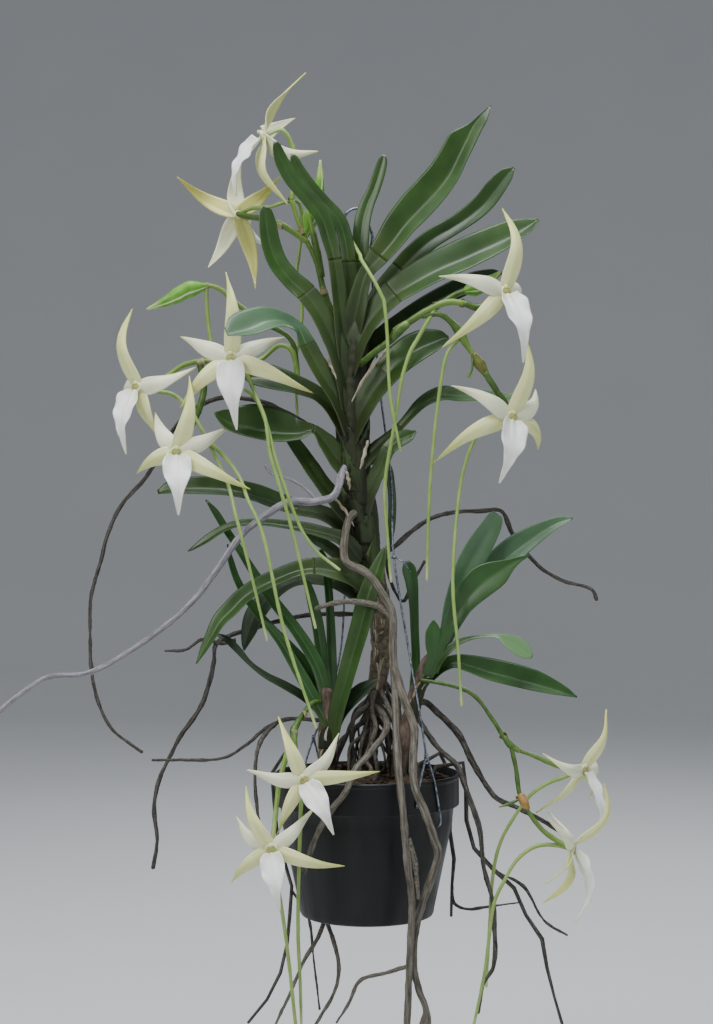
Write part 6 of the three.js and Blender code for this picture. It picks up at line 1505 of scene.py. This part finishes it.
# each wire: the angle of its clip on the rim, and its way down from the shank
hangerWires = {
    "hanger_wire_right": (-0.92, [[14.6, -0.6, shankZ - 0.4], [22, 3, -170], [34, -6, -270], [36, -16, -341],
        [43, -30, -391], [54, -50, -457], [62, -66, -505]]),
    "hanger_wire_left": (2.2, [[11.2, 1, shankZ - 0.4], [3, 22, -170], [-6, 36, -270], [-12, 46, -376],
        [-18, 54, -453], [-34, 68, -510]]),
}


def makeHook():
    look = hangerLook
    bend, across = look["hookRadius"], look["shankAcross"]
    curl = []
    for i in range(look["curlSteps"] + 1):
        turn = math.pi * (look["curlFrom"] + (look["curlTo"] - look["curlFrom"]) * i / look["curlSteps"])
        curl.append([bend * math.cos(turn) - 0.5, 0, look["hookTop"] - bend + bend * math.sin(turn)])
    shank = [[across + aside, 0, z] for aside, z in ((0, -18), (2.5, -27), (0.5, -38), (0, -46), (0, shankZ))]
    bm = newSheetMesh()
    addTubes(bm, [(look["hookWire"], curl + shank)], rings=4, step=1.5, lumps=0.05)
    coils = []
    for i in range(look["coilSteps"] + 1):
        t = i / look["coilSteps"]
        turned = compass(t * look["coilTurns"] * math.tau) * look["coilRadius"]
        height = look["coilFrom"] + (look["coilTo"] - look["coilFrom"]) * t
        coils.append(turned + Vector((across, 0, shankZ + height)))
    addTubes(bm, [(look["coilWire"], coils)], rings=3, step=0.8)
    return finishPiece("hangerHook", bm, [zincWire], "galvanised_wire", "hanger_hook")


def makeHangerWire(node, angle, path):
    look, pot = hangerLook, potLook
    reach = pot["rimRadius"] + look["radius"] + 0.4

    def byRim(height, swing=0.0, inward=0):
        return Vector((pot["across"], 0, pot["rimTop"] + height)) + compass(angle + swing) * (reach - inward)

    crown = byRim(look["crownRise"])
    ways = [path + [crown]] + [[crown] + [byRim(*spot) for spot in look[leg]] for leg in ("longLeg", "shortLeg")]
    bm = newSheetMesh()
    addTubes(bm, [(look["radius"], way) for way in ways], rings=3, step=3.0, lumps=0.04)
    # three close turns of the free end bind the fork at its crown
    shares = [i / look["bindSteps"] for i in range(look["bindSteps"] + 1)]
    coils = [crown + Vector((0, 0, look["bindFrom"] + look["bindHeight"] * t))
             + compass(t * look["bindTurns"] * math.tau) * look["bindRadius"] for t in shares]
    addTubes(bm, [(look["bindWire"], coils)], rings=3, step=1.0)
    return finishPiece(pieceName(node), bm, [zincWire], "galvanised_wire", node)


tieLook = {
    "wire": 0.55, "spot": (36.6, -17.6, -347), "leanY": -0.14, "leanX": -0.28, "radius": 2.1, "turns": 2.2,
    "height": 1.8, "steps": 24, "tails": [
        [[38.6, -17.8, -347.4], [42, -19, -349.6], [45, -20, -351], [50, -21.2, -357.5], [53, -22, -361]],
        [[38.6, -17.2, -346.6], [42, -18.4, -349.4], [45.4, -19.4, -350.2], [48.5, -19, -352.5]]],
}


def makeTie():
    # One turn of thin wire round the right hanger wire, its ends twisted together and left free
    look = tieLook
    lean = Matrix.Translation(look["spot"]) @ Matrix.Rotation(look["leanY"], 4, "Y") @ Matrix.Rotation(
        look["leanX"], 4, "X")
    shares = [i / look["steps"] for i in range(look["steps"] + 1)]
    ring = [lean @ (compass(t * look["turns"] * math.tau) * look["radius"]
                    + Vector((0, 0, look["height"] * (t - 0.5)))) for t in shares]
    bm = newSheetMesh()
    addTubes(bm, [(look["wire"], way) for way in (ring, *look["tails"])], rings=3, step=1.0)
    return finishPiece("plantTie", bm, [zincWire], "galvanised_wire", "plant_tie")


makeHook()
for node, (angle, path) in hangerWires.items():
    makeHangerWire(node, angle, path)
makeTie()
print("hanger made")
